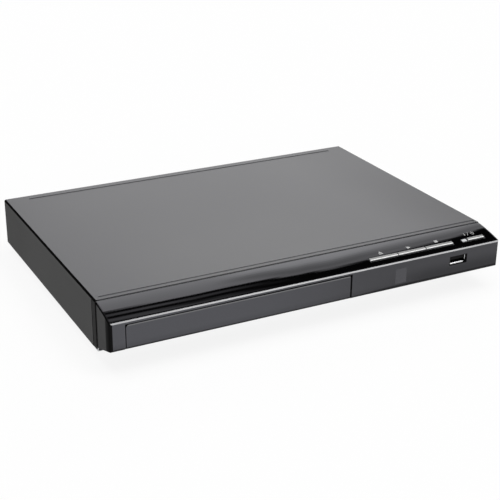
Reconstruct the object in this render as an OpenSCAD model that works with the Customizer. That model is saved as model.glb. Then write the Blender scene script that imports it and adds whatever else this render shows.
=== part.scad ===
// Slim disc player with a motor driven tray.
// Origin: middle of the footprint, at the height of the surface it stands on.
// +X runs to the viewer's right, +Y to the rear, +Z up. The tray slides out towards -Y.

/* [Case] */
// Width of the sheet metal cover
case_w = 270; // [266:1:290]
// Depth of the sheet metal cover
cover_d = 176.4; // [175:0.1:195]
// Height of the cover's sides
cover_h = 31.3; // [31:0.1:36]
// Thickness of the sheet steel
sheet_t = 0.7; // [0.5:0.1:0.8]
// Outer radius of the cover's folded edges
bend_r = 1.2; // [1:0.1:2]
// Height of the rubber feet
foot_h = 5.5; // [3:0.5:8]
// Radius of a foot where it stands
foot_r = 6.5; // [5:0.5:8]
// How far the cover's edge hangs above the underside of the chassis
cover_rise = 1.7; // [1:0.1:2]
// Height of the cover's rear lip
rear_lip = 9; // [7:0.5:10]
// Gap between nested sheets
nest_gap = 0.3; // [0.2:0.1:0.5]

/* [Pressed beads in the cover] */
// Width of a pressed bead
bead_w = 2.4; // [1.6:0.2:3]
// Depth of a pressed bead
bead_depth = 0.3; // [0.1:0.05:0.35]
// Distance of the rear bead from the cover's rear edge
rear_bead_in = 6.5; // [4:0.5:10]
// Distance of the front bead from the cover's front edge
front_bead_in = 2.7; // [2:0.1:6]

/* [Front] */
// How far the front moulding stands out of the cover
front_d = 22.8; // [21:0.1:24]
// How far each end of the face lies inside the cover's side
face_in = 0.6; // [0.4:0.1:1.5]
// Height of the front face
face_h = 17.9; // [17.5:0.1:19]
// Height of the face's lower edge above the cover's lower edge
face_rise = 8.4; // [8:0.1:9]
// Radius of the face's vertical corners
corner_r = 1.5; // [1:0.1:2.5]
// Radius of the rounding along the face's lower edge
lower_r = 3; // [1.5:0.1:3.5]
// Radius of the sloping strip's gentle crown
crown_r = 128; // [100:1:300]
// Size of the bevel along the face's upper edge
bevel = 0.8; // [0.4:0.1:1]
// Wall of the front moulding
wall = 1.8; // [1.4:0.1:2]
// Thickness of the glossy strip
strip_t = 1.6; // [1.2:0.1:1.8]

/* [Tray door] */
// Distance of the door's left edge from the left end of the face
door_in = 9.2; // [8:0.2:11]
// How far the door reaches past the tray at each end
door_lap = 4.6; // [4:0.2:5]
// Height of the door
door_h = 15.4; // [14:0.1:15.6]
// Thickness of the door
door_t = 3; // [2:0.5:3]
// Gap round the door
door_gap = 0.5; // [0.3:0.1:0.8]

/* [Keys] */
// Length of a key
key_w = 20.4; // [16:0.1:20.6]
// Depth of a key along the strip
key_d = 2.1; // [1.8:0.1:2.8]
// Distance from one key to the next
key_pitch = 21.1; // [20.9:0.1:21.6]
// How far the keys stand proud of the strip
key_proud = 0.6; // [0.3:0.1:1]
// How far a key travels
key_travel = 0.35; // [0.2:0.05:0.35]
// Distance of the keys' middle from the front face
key_in = 7; // [6.5:0.1:7.5]
// Distance of the stop key's right end from the right end of the face
stop_in = 32.5; // [31:0.1:34]
// Length of the power key
power_w = 12.5; // [10:0.1:13]
// Distance of the power key's right end from the right end of the face
power_in = 7.8; // [7:0.1:9]
// Side of the square standby light
light_w = 3.4; // [2:0.2:3.4]
// Running gap round a key
key_gap = 0.15; // [0.1:0.05:0.3]

/* [Front socket and window] */
// Outer width of the serial bus socket's shell
socket_w = 13.1; // [13.1:0.1:13.5]
// Outer height of the serial bus socket's shell
socket_h = 5.7; // [5.7:0.1:6]
// Distance of the socket's middle from the right end of the face
socket_in = 31.95; // [29:0.05:36]
// Height of the socket's middle above the face's lower edge
socket_rise = 10.55; // [10.3:0.05:11]
// Width of the receiver's window
window_w = 8; // [6:0.5:10]
// Height of the receiver's window
window_h = 9.8; // [8:0.2:10]
// Distance of the window's middle from the right end of the face
window_in = 75.9; // [72:0.1:80]

/* [Disc and tray] */
// Radius of a standard disc
disc_r = 60; // [60:0.1:60.2]
// Width of the disc tray
tray_w = 138; // [134:0.5:139]
// Distance the tray slides out
tray_travel = 130; // [120:1:131]
// Distance of the disc's middle behind the front face
disc_in = 68; // [67:0.5:69]
// Radius of the opening round the turntable, and half the slot behind it
slot_r = 23; // [20:0.5:24]
// How far the tray reaches behind the disc's middle
tray_tail = 108; // [106:1:110]
// Thickness of the tray's floor
tray_t = 1.8; // [1.5:0.1:2]
// Depth of the disc's recess
recess_h = 3.2; // [2.4:0.1:3.2]

/* [Loader] */
// Height of the underside of the tray's floor above the chassis floor
tray_lift = 16; // [16:0.1:16.6]
// Thickness of the loader frame's deck
deck_t = 1.4; // [1:0.1:1.4]
// Drop of the turntable when the tray is free to move
turntable_drop = 5.2; // [4.8:0.1:5.3]
// Travel of the cam slider
cam_travel = 14; // [10:0.5:14]
// Travel of the pickup sled
sled_travel = 34; // [30:0.5:34]
// Radius of a guide rod
guide_r = 1.5; // [1.2:0.1:1.6]
// Radius of a gear's fixed shaft
shaft_r = 1.5; // [1.2:0.1:1.6]
// Running clearance between a shaft and its bore
run_gap = 0.05; // [0.03:0.01:0.09]

/* [Boards and sockets] */
// Thickness of a circuit board
board_t = 1.6; // [1.2:0.2:1.6]
// Height of a circuit board above the chassis floor
board_lift = 5.2; // [4:0.2:6]
// Width of the power board
power_board_w = 30; // [28:0.5:31]
// Radius of a phono jack's barrel
jack_r = 4.15; // [4.1:0.01:4.2]
// Distance from one phono jack to the next
jack_pitch = 13; // [12.8:0.1:13.2]
// How far the phono jacks stand out of the rear panel
jack_out = 8.6; // [8:0.1:10]
// How much thinner a barrel or pin is where it is held
root_step = 0.4; // [0.3:0.05:0.4]
// Radius of a mains inlet pin
pin_r = 1.2; // [1.1:0.05:1.3]
// Distance between the mains inlet's pins
pin_pitch = 8.6; // [8.4:0.1:8.8]
// Radius of a small screw's shank
screw_r = 1.3; // [1:0.1:1.4]

/* [Hidden] */
$fn = 48;
black_steel = [0.2, 0.2, 0.21];
black_plastic = [0.12, 0.12, 0.13];
bare_steel = [0.75, 0.76, 0.78];
cream = [0.9, 0.88, 0.8];
green_board = [0.1, 0.4, 0.2];

// Case, front to rear and bottom to top
total_d = front_d + cover_d - sheet_t + jack_out;
face_y = -total_d / 2;
seam_y = face_y + front_d;
back_y = seam_y + cover_d;
panel_y = back_y - sheet_t;
floor_z = foot_h + sheet_t;
edge_z = foot_h + cover_rise;
top_z = edge_z + cover_h;
cover_in = case_w / 2 - sheet_t;
pan_half = cover_in - nest_gap;
rim_half = pan_half - sheet_t;
pan_y = seam_y + nest_gap;
seam_gap = 0.4;

// Front moulding
face_z = edge_z + face_rise;
face_top = face_z + face_h;
seam_top = top_z - 0.5;
seam_low = edge_z + 1;
face_half = case_w / 2 - face_in;
moulding_y = seam_y - seam_gap;
crown_front = [face_y + bevel, face_top];
crown_rear = [moulding_y, seam_top];
crown_chord = crown_front - crown_rear;
crown_mid = (crown_front + crown_rear) / 2;
crown_sink = sqrt(crown_r * crown_r - crown_chord * crown_chord / 4);
crown_c = crown_mid + crown_sink * [-crown_chord[1], crown_chord[0]] / norm(crown_chord);
crown_steps = 12;
strip_gap = 0.05;

// Tray, disc and loader, in plan
door_w = tray_w + 2 * door_lap;
door_x = [-face_half + door_in, -face_half + door_in + door_w];
disc_x = (door_x[0] + door_x[1]) / 2;
disc_y = face_y + disc_in;
tray_x = [disc_x - tray_w / 2, disc_x + tray_w / 2];
tray_y = [face_y + door_t, disc_y + tray_tail];
loader_wall = 1.8;
tray_side_gap = 1.6;
loader_x = around(disc_x, tray_w / 2 + tray_side_gap + loader_wall);
loader_y = [seam_y + 0.7, tray_y[1] + 3.5];

// Tray, disc and loader, in height
tray_z = floor_z + tray_lift;
rest_z = tray_z + tray_t;
rim_z = rest_z + recess_h;
small_recess_r = 40.5;
door_z = [face_z, face_z + door_h];
deck_z = floor_z + deck_t;
bridge_z = rim_z + 3.8;
disc_seat_z = rest_z + 2.2;
clamp_z = disc_seat_z + 1.4;
wall_top = rim_z + 2.2;
slack = 0.3;

// Traverse: the tilting frame that carries turntable and pickup
rod_z = tray_z - 5.4;
traverse_z = [rod_z - 2.8, rod_z + 1.8];
traverse_x = [disc_x - 50, disc_x + 30];
pivot_y = disc_y + 91.5;
traverse_y = [disc_y - 24, pivot_y + 4];
tilt = asin(turntable_drop / (pivot_y - disc_y));
pivot_r = 1.5;
upright_t = 4;
upright_x = [traverse_x[0] - 3 - upright_t, traverse_x[1] + 3];
bush_r = 3.5;
rod_half = 20;
cam_pin_r = 1.25;
cam_pin_x = [disc_x - 26, disc_x + 12];
cam_pin_z = rod_z + 0.4;
cam_y = [traverse_y[0] - 6.7, traverse_y[0] - 4.3];
cam_reach = pivot_y - (cam_y[0] + cam_y[1]) / 2;
cam_drop = cam_reach * sin(tilt) + (cam_pin_z - rod_z) * (1 - cos(tilt));

// Spindle and pickup
spindle_can_r = 12;
spindle_shaft_r = 1;
neck_r = 5;
table_r = 14;
table_t = 2.8;
hub_r = 7.4;
hub_h = 2.5;
clamper_r = 12.5;
clamper_neck_r = 10.5;
clamper_head_r = 13;
sled_front = disc_y + 16.3;
lens_y = disc_y + 24;
sled_y = [sled_front, sled_front + 28.7];
sled_window = [sled_front - 0.8, sled_front + sled_travel + 38.2];
rod_y = [sled_window[0] - 4, sled_window[1] + 4];
sled_z = [rod_z - 2.4, rod_z + 2.6];
sled_rack_x = disc_x - 25;
sled_rack_y = [sled_front, sled_front + sled_travel + 3];

// Gears: module, teeth and places
sled_m = 0.8;
sled_teeth = 12;
feed_m = 0.5;
feed_teeth = 44;
feed_pinion_teeth = 12;
feed_at = [sled_rack_x - sled_m * sled_teeth / 2, sled_front + sled_travel + 1.5];
feed_span = feed_m * (feed_teeth + feed_pinion_teeth) / 2;
feed_turn = 125;
feed_motor_at = feed_at + feed_span * [cos(feed_turn), sin(feed_turn)];
feed_can_r = 8;
feed_shaft_r = 1;
feed_motor_shaft_r = 0.75;
tray_m = 1;
tray_teeth = 16;
train_m = 0.8;
wheel_teeth = 36;
belt_pinion_teeth = 12;
rack_in = 8.4;
tray_rack_x = tray_x[1] - rack_in;
drive_at = [tray_rack_x - tray_m * tray_teeth / 2, face_y + 40.5];
train_span = train_m * (wheel_teeth + belt_pinion_teeth) / 2;
train_turn = 100;
belt_gear_at = drive_at + train_span * [cos(train_turn), sin(train_turn)];
belt_span = 34;
loading_at = belt_gear_at + [0, belt_span];
belt_gear_r = 8.6;
belt_ratio = 4;
motor_groove_r = belt_gear_r / belt_ratio;
belt_t = 1.2;
loading_can_r = 10.5;
loading_can_top = deck_z + 7.8;
belt_z = loading_can_top + 2.4;
motor_shaft_r = 1;
pulley_half = 1.4;
pulley_flange_t = 0.5;
wheel_z = [deck_z + 3.3, deck_z + 5.8];
belt_pinion_z = [deck_z + 3, deck_z + 6.6];
belt_slack = 0.1;

// Electronics
power_board_x = [pan_half - 2.5 - power_board_w, pan_half - 2.5];
main_board_x = [loader_x[1] + 9.2, power_board_x[0] - 2];
board_z = floor_z + board_lift;
board_top = board_z + board_t;
main_board_y = [seam_y + 14.7, panel_y - 7];
power_board_y = [seam_y + 35.7, panel_y - 5];
panel_in = panel_y - sheet_t;
jack_z = board_top + 7.5;
jack_bore = 3.3;
ring_t = 2.4;
last_jack_x = main_board_x[1] - 7.5;
jack_x = [for (i = [3:-1:0]) last_jack_x - i * jack_pitch];
picture_x = jack_x[0] - 17;
picture_w = 14.8;
picture_h = 5.4;
picture_t = 0.4;
picture_y = [back_y - 11.5, back_y];
picture_z = [board_top, board_top + picture_h];
inlet_x = (power_board_x[0] + power_board_x[1]) / 2;
inlet_w = 21;
inlet_h = 13;
inlet_deep = 13;
inlet_z = board_top + 6.5;
inlet_y = back_y - 0.2;
socket_x = face_half - socket_in;
socket_y = [face_y + 0.3, face_y + 14.3];
socket_z = face_z + socket_rise;
shell_t = 0.3;
front_board_top = socket_z - socket_h / 2;
front_board_z = front_board_top - board_t;
front_board_x = [loader_x[1] + 9.2, face_half - 4.4];
front_board_y = [face_y + 3.4, seam_y + 2.7];
window_x = face_half - window_in;
window_z = face_z + 8.1;
key_y = face_y + key_in;
stop_x = face_half - stop_in - key_w / 2;
power_x = face_half - power_in - power_w / 2;
light_x = power_x - power_w / 2 - 0.9 - light_w / 2;
key_x = [stop_x - 2 * key_pitch, stop_x - key_pitch, stop_x, power_x];
switch_top = front_board_top + 4.3;
flange_t = 1.2;
screw_head_r = 2.6;
screw_head_h = 1.6;
cover_screw_x = [-0.4 * case_w, 0, 0.4 * case_w];
cover_screw_z = top_z - sheet_t - 5.5;
foot_x = case_w / 2 - 20;
foot_y = [seam_y + 12.9, back_y - 16];
loader_hole_y = [loader_y[0] + 5, loader_y[1] - 5];
loader_hole_x = [loader_x[0] + 6.5, loader_x[1] - 6.5];
main_hole_x = [main_board_x[0] + 5, main_board_x[1] - 5];
main_hole_y = [main_board_y[0] + 5, part_of(main_board_y, 0.857)];
power_hole_x = [power_board_x[0] + 4.5, power_board_x[1] - 4.5];
power_hole_y = [power_board_y[0] + 5, part_of(power_board_y, 0.82)];
standoff_r = 3.2;
front_ribbon_x = front_board_x[0] + 24;
pickup_ribbon_y = disc_y + 72.5;
ribbon_t = 0.35;
ribbon_lift = 0.8;
plug_half = 7;
plug_h = 2.4;
cable_y = part_of(power_board_y, 0.12);
cable_plug_h = 5;

// Shapes that repeat

module block(x, y, z) {
    translate([x[0], y[0], z[0]]) cube([x[1] - x[0], y[1] - y[0], z[1] - z[0]]);
}

module post(at, r, z) {
    translate([at[0], at[1], z[0]]) cylinder(r = r, h = z[1] - z[0]);
}

module bar_y(x, z, r, y) {
    translate([x, y[0], z]) rotate([-90, 0, 0]) cylinder(r = r, h = y[1] - y[0]);
}

module bar_x(y, z, r, x) {
    translate([x[0], y, z]) rotate([0, 90, 0]) cylinder(r = r, h = x[1] - x[0]);
}

module slab_x(x, outline) {
    translate([x[0], 0, 0]) rotate([90, 0, 90]) linear_extrude(x[1] - x[0]) polygon(outline);
}

module slab_z(z) {
    translate([0, 0, z[0]]) linear_extrude(z[1] - z[0]) children();
}

module round_rect(x, y, r) {
    translate([x[0] + r, y[0]]) square([x[1] - x[0] - 2 * r, y[1] - y[0]]);
    translate([x[0], y[0] + r]) square([x[1] - x[0], y[1] - y[0] - 2 * r]);
    for (cx = [x[0] + r, x[1] - r], cy = [y[0] + r, y[1] - r]) translate([cx, cy]) circle(r);
}

module capsule(x, y, r) {
    translate([x[0] + r, y - r]) square([x[1] - x[0] - 2 * r, 2 * r]);
    for (cx = [x[0] + r, x[1] - r]) translate([cx, y]) circle(r);
}

function around(x, half) = [x - half, x + half];
function part_of(x, part) = x[0] + part * (x[1] - x[0]);

// Gears and racks with involute teeth

play = 0.1;
pressure = 20;
tip_part = 0.8;
root_part = 1.05;

function involute(a) = tan(a) * 180 / PI - a;
function flank(r, base) = involute(r > base ? acos(base / r) : 0);
function half_tooth(r, m, n) = 90 / n - (play * m / 2) / (m * n / 2) * 180 / PI
    + flank(m * n / 2, m * n / 2 * cos(pressure)) - flank(r, m * n / 2 * cos(pressure));
function polar(r, a) = [r * cos(a), r * sin(a)];

module gear(m, n, phase) {
    pitch_r = m * n / 2;
    root_r = pitch_r - root_part * m;
    tip_r = pitch_r + tip_part * m;
    start_r = max(root_r + 0.01, pitch_r * cos(pressure));
    radii = concat([root_r], [for (i = [0:3]) start_r + (tip_r - start_r) * i / 3]);
    polygon([for (k = [0:n - 1]) let (c = phase + 360 * k / n)
        for (i = [0:9]) let (r = radii[i < 5 ? i : 9 - i], side = i < 5 ? -1 : 1)
            polar(r, c + side * half_tooth(r, m, n))]);
}

// Rack along Y with its pitch line on x = 0 and its teeth pointing to -X
module rack(m, y, back, gap_y) {
    half = PI * m / 4 - play * m / 2;
    first = ceil((y[0] - gap_y) / (PI * m) + 0.05);
    last = floor((y[1] - gap_y) / (PI * m) - 1.05);
    translate([root_part * m, y[0]]) square([back - root_part * m, y[1] - y[0]]);
    for (k = [first:last]) let (c = gap_y + (k + 0.5) * PI * m)
        polygon([[root_part * m + 0.01, c - half - root_part * m * tan(pressure)],
            [-tip_part * m, c - half + tip_part * m * tan(pressure)],
            [-tip_part * m, c + half - tip_part * m * tan(pressure)],
            [root_part * m + 0.01, c + half + root_part * m * tan(pressure)]]);
}

// Metal case

module cover_section(half, low, high, r) {
    translate([-half, low]) square([2 * half, high - low - r]);
    translate([-half + r, high - r - 1]) square([2 * (half - r), r + 1]);
    for (s = [-1, 1]) translate([s * (half - r), high - r]) circle(r);
}

module top_cover() color(black_steel) difference() {
    union() {
        translate([0, back_y, 0]) rotate([90, 0, 0]) linear_extrude(cover_d) difference() {
            cover_section(case_w / 2, edge_z, top_z, bend_r);
            cover_section(cover_in, edge_z - 1, top_z - sheet_t, bend_r - sheet_t);
        }
        block([-cover_in, cover_in], [panel_y, back_y], [top_z - rear_lip, top_z - sheet_t]);
    }
    slab_z([top_z - bead_depth, top_z + 1])
        capsule([-0.4415, 0.4493] * case_w, back_y - rear_bead_in, bead_w / 2);
    slab_z([top_z - bead_depth, top_z + 1])
        capsule([-0.488, 0.4926] * case_w, seam_y + front_bead_in, bead_w / 2);
    for (x = cover_screw_x) bar_y(x, cover_screw_z, screw_r + 0.3, [panel_y - 1, back_y + 1]);
    for (s = [-1, 1]) block(around(s * case_w / 2, 0.25), [seam_y - 1, seam_y + 5],
        [edge_z - 1, top_z - bend_r]);
}

module bottom_chassis() color(bare_steel) difference() {
    union() {
        block([-pan_half, pan_half], [pan_y, panel_y], [foot_h, floor_z]);
        for (s = [-1, 1]) block(around(s * (pan_half - sheet_t / 2), sheet_t / 2),
            [pan_y, panel_in], [floor_z, floor_z + 10]);
        for (x = main_hole_x, y = main_hole_y) post([x, y], standoff_r, [floor_z, board_z]);
        for (x = power_hole_x, y = power_hole_y) post([x, y], standoff_r, [floor_z, board_z]);
    }
    for (x = main_hole_x, y = main_hole_y) post([x, y], screw_r, [foot_h - 1, board_z + 1]);
    for (x = power_hole_x, y = power_hole_y) post([x, y], screw_r, [foot_h - 1, board_z + 1]);
    for (x = loader_hole_x, y = loader_hole_y) post([x, y], screw_r, [foot_h - 1, floor_z + 1]);
    for (i = [0:9]) slab_z([foot_h - 1, floor_z + 1])
        round_rect(around(main_board_x[0] + 14 + 4.6 * i, 1.1), around(disc_y + 15, 14), 1.05);
    for (i = [0:7]) slab_z([foot_h - 1, floor_z + 1])
        round_rect(around(loader_x[0] + 34 + 4.6 * i, 1.1), around(disc_y + 5, 12), 1.05);
}

module rear_panel() color(black_steel) difference() {
    union() {
        block([-pan_half, pan_half], [panel_in, panel_y], [floor_z, top_z - sheet_t]);
        block([-pan_half, pan_half] * 0.97, [panel_in - 8, panel_in],
            [top_z - 2 * sheet_t, top_z - sheet_t]);
    }
    for (x = jack_x) bar_y(x, jack_z, jack_r + nest_gap, [panel_in - 1, panel_y + 1]);
    block(around(picture_x, picture_w / 2 + nest_gap), [panel_in - 1, panel_y + 1],
        picture_z + [-nest_gap, nest_gap]);
    block(around(inlet_x, inlet_w / 2 + nest_gap), [panel_in - 1, panel_y + 1],
        around(inlet_z, inlet_h / 2 + nest_gap));
    for (x = cover_screw_x) bar_y(x, cover_screw_z, screw_r, [panel_in - 1, panel_y + 1]);
    for (i = [0:11]) block(around(disc_x + (i - 5.5) * 6, 1.3), [panel_in - 1, panel_y + 1],
        [floor_z + 8, top_z - rear_lip - 4]);
}

module feet() color([0.07, 0.07, 0.07]) for (x = [-foot_x, foot_x], y = foot_y)
    translate([x, y, 0]) rotate_extrude() polygon([[0, 0.4], [foot_r - 2.5, 0.4], [foot_r - 2, 0],
        [foot_r - 0.5, 0], [foot_r, 0.5], [foot_r + 0.6, foot_h], [0, foot_h]]);

module screw_z(at, z) {
    post(at, screw_r, [z - 4.5, z]);
    difference() {
        post(at, screw_head_r, [z, z + screw_head_h]);
        for (a = [0, 90]) translate([at[0], at[1], z + screw_head_h]) rotate(a)
            cube([2.6, 0.6, 1.2], center = true);
    }
}

module cover_screws() color([0.1, 0.1, 0.1]) for (x = cover_screw_x) {
    bar_y(x, cover_screw_z, screw_r, [panel_in - 3, back_y]);
    difference() {
        bar_y(x, cover_screw_z, screw_head_r, [back_y, back_y + screw_head_h]);
        for (a = [0, 90]) translate([x, back_y + screw_head_h, cover_screw_z]) rotate([0, a, 0])
            cube([2.6, 1.2, 0.6], center = true);
    }
}

module inner_screws() color(bare_steel) {
    for (x = main_hole_x, y = main_hole_y) screw_z([x, y], board_top);
    for (x = power_hole_x, y = power_hole_y) screw_z([x, y], board_top);
    for (x = loader_hole_x, y = loader_hole_y) intersection() {
        screw_z([x, y], deck_z);
        block(around(x, 4), around(y, 4), [foot_h, deck_z + 4]);
    }
}

// Front moulding

function crown_z(y, drop) = crown_c[1] + sqrt(pow(crown_r - drop, 2) - pow(y - crown_c[0], 2));
function crown_line(y, drop) = [for (i = [0:crown_steps])
    let (v = y[0] + (y[1] - y[0]) * i / crown_steps) [v, crown_z(v, drop)]];
function rake_z(y) = face_z + (seam_low - face_z) * (y - face_y) / front_d;
rake_turn = atan((face_z - seam_low) / front_d);
lower_c = [face_y + lower_r, face_z + lower_r * tan(45 - rake_turn / 2)];
lower_arc = [for (i = [0:6]) lower_c - polar(lower_r, (90 - rake_turn) * i / 6)];

module front_plan(inset, rear) {
    r = max(corner_r - inset, 0.2);
    half = face_half - inset;
    corner = [for (i = [0:6]) polar(r, 15 * i)];
    polygon(concat(
        [[-half, rear]],
        [for (i = [6:-1:0]) [-half + r - corner[6 - i][0], face_y + inset + r - corner[6 - i][1]]],
        [for (i = [0:6]) [half - r + corner[6 - i][0], face_y + inset + r - corner[6 - i][1]]],
        [[half, rear]]));
}

module bezel_solid() intersection() {
    slab_x([-case_w, case_w], concat(
        [[moulding_y, rake_z(moulding_y)]], [for (i = [6:-1:0]) lower_arc[i]],
        [[face_y, face_top - bevel], [face_y + bevel, face_top]],
        crown_line([face_y + bevel + strip_gap, moulding_y], strip_t)));
    slab_z([0, top_z + 5]) front_plan(0, moulding_y);
}

module bezel_hollow() intersection() {
    slab_x([-case_w, case_w], concat(
        [[moulding_y + 1, rake_z(moulding_y) + wall], [face_y + wall, rake_z(face_y + wall) + wall],
            [face_y + wall, crown_z(face_y + 2 * wall, strip_t + wall)]],
        crown_line([face_y + 2 * wall, moulding_y + 1], strip_t + wall)));
    slab_z([0, top_z + 5]) front_plan(wall, moulding_y + 1);
}

module key_holes() for (i = [0:3]) block(
    around(key_x[i], (i == 3 ? power_w : key_w) / 2 + key_gap),
    around(key_y, key_d / 2 + key_gap), [front_board_top, top_z]);

module light_hole() block(around(light_x, light_w / 2), around(key_y, key_d / 2),
    [front_board_top, top_z]);

module front_bezel() color([0.28, 0.28, 0.3]) difference() {
    union() {
        difference() {
            bezel_solid();
            bezel_hollow();
        }
        difference() {
            block([-rim_half, rim_half], [moulding_y - wall, seam_y + 6],
                [floor_z, top_z - sheet_t - nest_gap]);
            block([-1, 1] * (rim_half - wall), [moulding_y - 2 * wall, seam_y + 7],
                [floor_z - 1, crown_z(moulding_y, strip_t + wall)]);
            slab_x([-case_w, case_w], [[moulding_y - 2 * wall, floor_z - 1],
                [moulding_y - 2 * wall, rake_z(moulding_y - 2 * wall)],
                [moulding_y, rake_z(moulding_y)], [moulding_y, floor_z - 1]]);
            slab_x([-case_w, case_w], [[moulding_y - 2 * wall, top_z],
                [moulding_y - 2 * wall, crown_z(moulding_y - 2 * wall, strip_t)],
                [moulding_y, crown_z(moulding_y, strip_t)], [moulding_y, top_z]]);
        }
        for (x = [front_board_x[0] + 4, socket_x - 14, front_board_x[1] - 6]) intersection() {
            post([x, front_board_y[0] + 7], 2.6, [seam_low, front_board_z]);
            bezel_solid();
        }
    }
    block([door_x[0] - door_gap, door_x[1] + door_gap], [face_y - 1, face_y + 2 * wall],
        [face_z - 1, door_z[1] + door_gap]);
    key_holes();
    light_hole();
    block(around(socket_x, socket_w / 2 + 0.2), [face_y - 1, face_y + wall + 1],
        around(socket_z, socket_h / 2 + 0.2));
    block(around(window_x, window_w / 2), [face_y - 1, face_y + wall + 1],
        around(window_z, window_h / 2));
}

module top_strip() color([0.03, 0.03, 0.035]) difference() {
    intersection() {
        slab_x([-case_w, case_w], concat(
            crown_line([face_y + bevel + strip_gap, moulding_y], 0),
            crown_line([moulding_y, face_y + bevel + strip_gap], strip_t)));
        slab_z([0, top_z + 5]) front_plan(0, moulding_y);
    }
    key_holes();
    light_hole();
}

module tray_door() color([0.27, 0.27, 0.29]) intersection() {
    translate([0, face_y + door_t, 0]) rotate([90, 0, 0]) linear_extrude(door_t) {
        round_rect(door_x, door_z, 2);
        translate([door_x[0], door_z[0]]) square([door_w, 3]);
    }
    slab_x(door_x, concat([for (i = [6:-1:0]) lower_arc[i]],
        [[face_y, face_top], [face_y + door_t, face_top], [face_y + door_t, rake_z(face_y + door_t)]]));
}

// Keys and what lies behind the front

module key(x, w) color([0.8, 0.8, 0.82]) {
    y = around(key_y, key_d / 2);
    flange_y = around(key_y, key_d / 2 + 1);
    flange_z = [for (v = flange_y) crown_z(v, strip_t + wall + slack)];
    slab_x(around(x, w / 2), [[y[0], flange_z[0] - flange_t], [y[1], flange_z[1] - flange_t],
        [y[1], crown_z(y[1], -key_proud)], [y[0], crown_z(y[0], -key_proud)]]);
    slab_x(around(x, w / 2 - 0.6), [[flange_y[0], flange_z[0] - flange_t],
        [flange_y[1], flange_z[1] - flange_t], [flange_y[1], flange_z[1]],
        [flange_y[0], flange_z[0]]]);
    block(around(x, 1.5), around(key_y, 1.2),
        [switch_top + key_travel + 0.05, flange_z[0] - flange_t / 2]);
}

module open_close_key() key(key_x[0], key_w);
module play_key() key(key_x[1], key_w);
module stop_key() key(key_x[2], key_w);
module power_key() key(key_x[3], power_w);

module standby_light() color([0.9, 0.9, 0.92]) {
    y = around(key_y, key_d / 2);
    slab_x(around(light_x, light_w / 2), [[y[0], crown_z(y[0], strip_t + wall)],
        [y[1], crown_z(y[1], strip_t + wall)], [y[1], crown_z(y[1], 0)], [y[0], crown_z(y[0], 0)]]);
    block(around(light_x, 1), around(key_y, 1),
        [front_board_top + 1.4, crown_z(y[0], strip_t + wall) + 0.2]);
}

module receiver_window() color([0.2, 0.18, 0.2])
    block(around(window_x, window_w / 2), [face_y, face_y + wall], around(window_z, window_h / 2));

module remote_receiver() color([0.1, 0.1, 0.1]) {
    block(around(window_x, 3), [front_board_y[0] + 0.2, front_board_y[0] + 4],
        [front_board_top, front_board_top + 5.6]);
    bar_y(window_x, front_board_top + 2.8, 2, [front_board_y[0] - 1, front_board_y[0] + 1]);
}

module front_board() color(green_board) {
    difference() {
        block(front_board_x, front_board_y, [front_board_z, front_board_top]);
        post([front_board_x[0] + 10, front_board_y[1] - 4], 1.5, [front_board_z - 1, top_z]);
    }
    block(around(light_x, 1), around(key_y, 1), [front_board_top, front_board_top + 1.4]);
    block(around(front_ribbon_x, plug_half), [front_board_y[1] - 5, front_board_y[1]],
        [front_board_top, front_board_top + plug_h]);
}

module key_switches() color([0.3, 0.3, 0.32]) for (x = key_x) {
    block(around(x, 3), around(key_y + 0.6, 3), [front_board_top, front_board_top + 3.4]);
    post([x, key_y], 1.6, [front_board_top + 3.4, switch_top]);
}

// Folded socket shell, closed at one end: y is its extent and open_y that of its hollow
module tube_shell(x, w, z, t, y, open_y) difference() {
    block(around(x, w / 2), y, z);
    block(around(x, w / 2 - t), open_y, [z[0] + t, z[1] - t]);
}

module front_socket_shell() color(bare_steel) tube_shell(socket_x, socket_w, around(socket_z, socket_h / 2),
    shell_t, socket_y, socket_y - [1, shell_t]);

module front_socket_tongue() color(black_plastic) {
    y = [socket_y[0] + 1.3, socket_y[1] - shell_t];
    block(around(socket_x, 5.6), y, around(socket_z + 0.95, 0.95));
    block(around(socket_x, socket_w / 2 - shell_t), [y[1] - 2.2, y[1]],
        around(socket_z, socket_h / 2 - shell_t));
}

module front_ribbon() color([0.85, 0.85, 0.82]) {
    y = [front_board_y[1], front_board_y[1] + 4, main_board_y[0] - 4, main_board_y[0] + 3];
    z = [front_board_top, front_board_top, board_top, board_top];
    slab_x(around(front_ribbon_x, 5.5), concat([for (i = [0:3]) [y[i], z[i] + ribbon_lift]],
        [for (i = [3:-1:0]) [y[i] + (i == 1 || i == 2 ? ribbon_t : 0), z[i] + ribbon_lift + ribbon_t]]));
}

// Main board

module main_board() color(green_board) difference() {
    union() {
        block(main_board_x, main_board_y, [board_z, board_top]);
        block(around(front_ribbon_x, plug_half), [main_board_y[0] + 3, main_board_y[0] + 8],
            [board_top, board_top + plug_h]);
        block([main_board_x[0] + 4, main_board_x[0] + 8], around(pickup_ribbon_y, plug_half),
            [board_top, board_top + plug_h]);
        block([main_board_x[1] - 9, main_board_x[1] - 3], around(cable_y, 5),
            [board_top, board_top + cable_plug_h]);
    }
    for (x = main_hole_x, y = main_hole_y) post([x, y], screw_r, [board_z - 1, board_top + 1]);
}

module main_chips() color([0.12, 0.12, 0.13]) {
    // each as its place in parts of the board's width and length, then width, length and height
    chips = [[0.5, 0.245, 20, 20, 1.8], [0.155, 0.25, 10, 18, 1.2], [0.185, 0.133, 8, 10, 1.4],
        [0.53, 0.42, 8, 8, 1.5], [0.815, 0.55, 9, 6, 1.6], [0.24, 0.52, 9, 6, 1.6],
        [0.86, 0.133, 10, 7, 1.8]];
    for (c = chips) block(around(part_of(main_board_x, c[0]), c[2] / 2),
        around(part_of(main_board_y, c[1]), c[3] / 2), [board_top, board_top + c[4]]);
}

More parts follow.
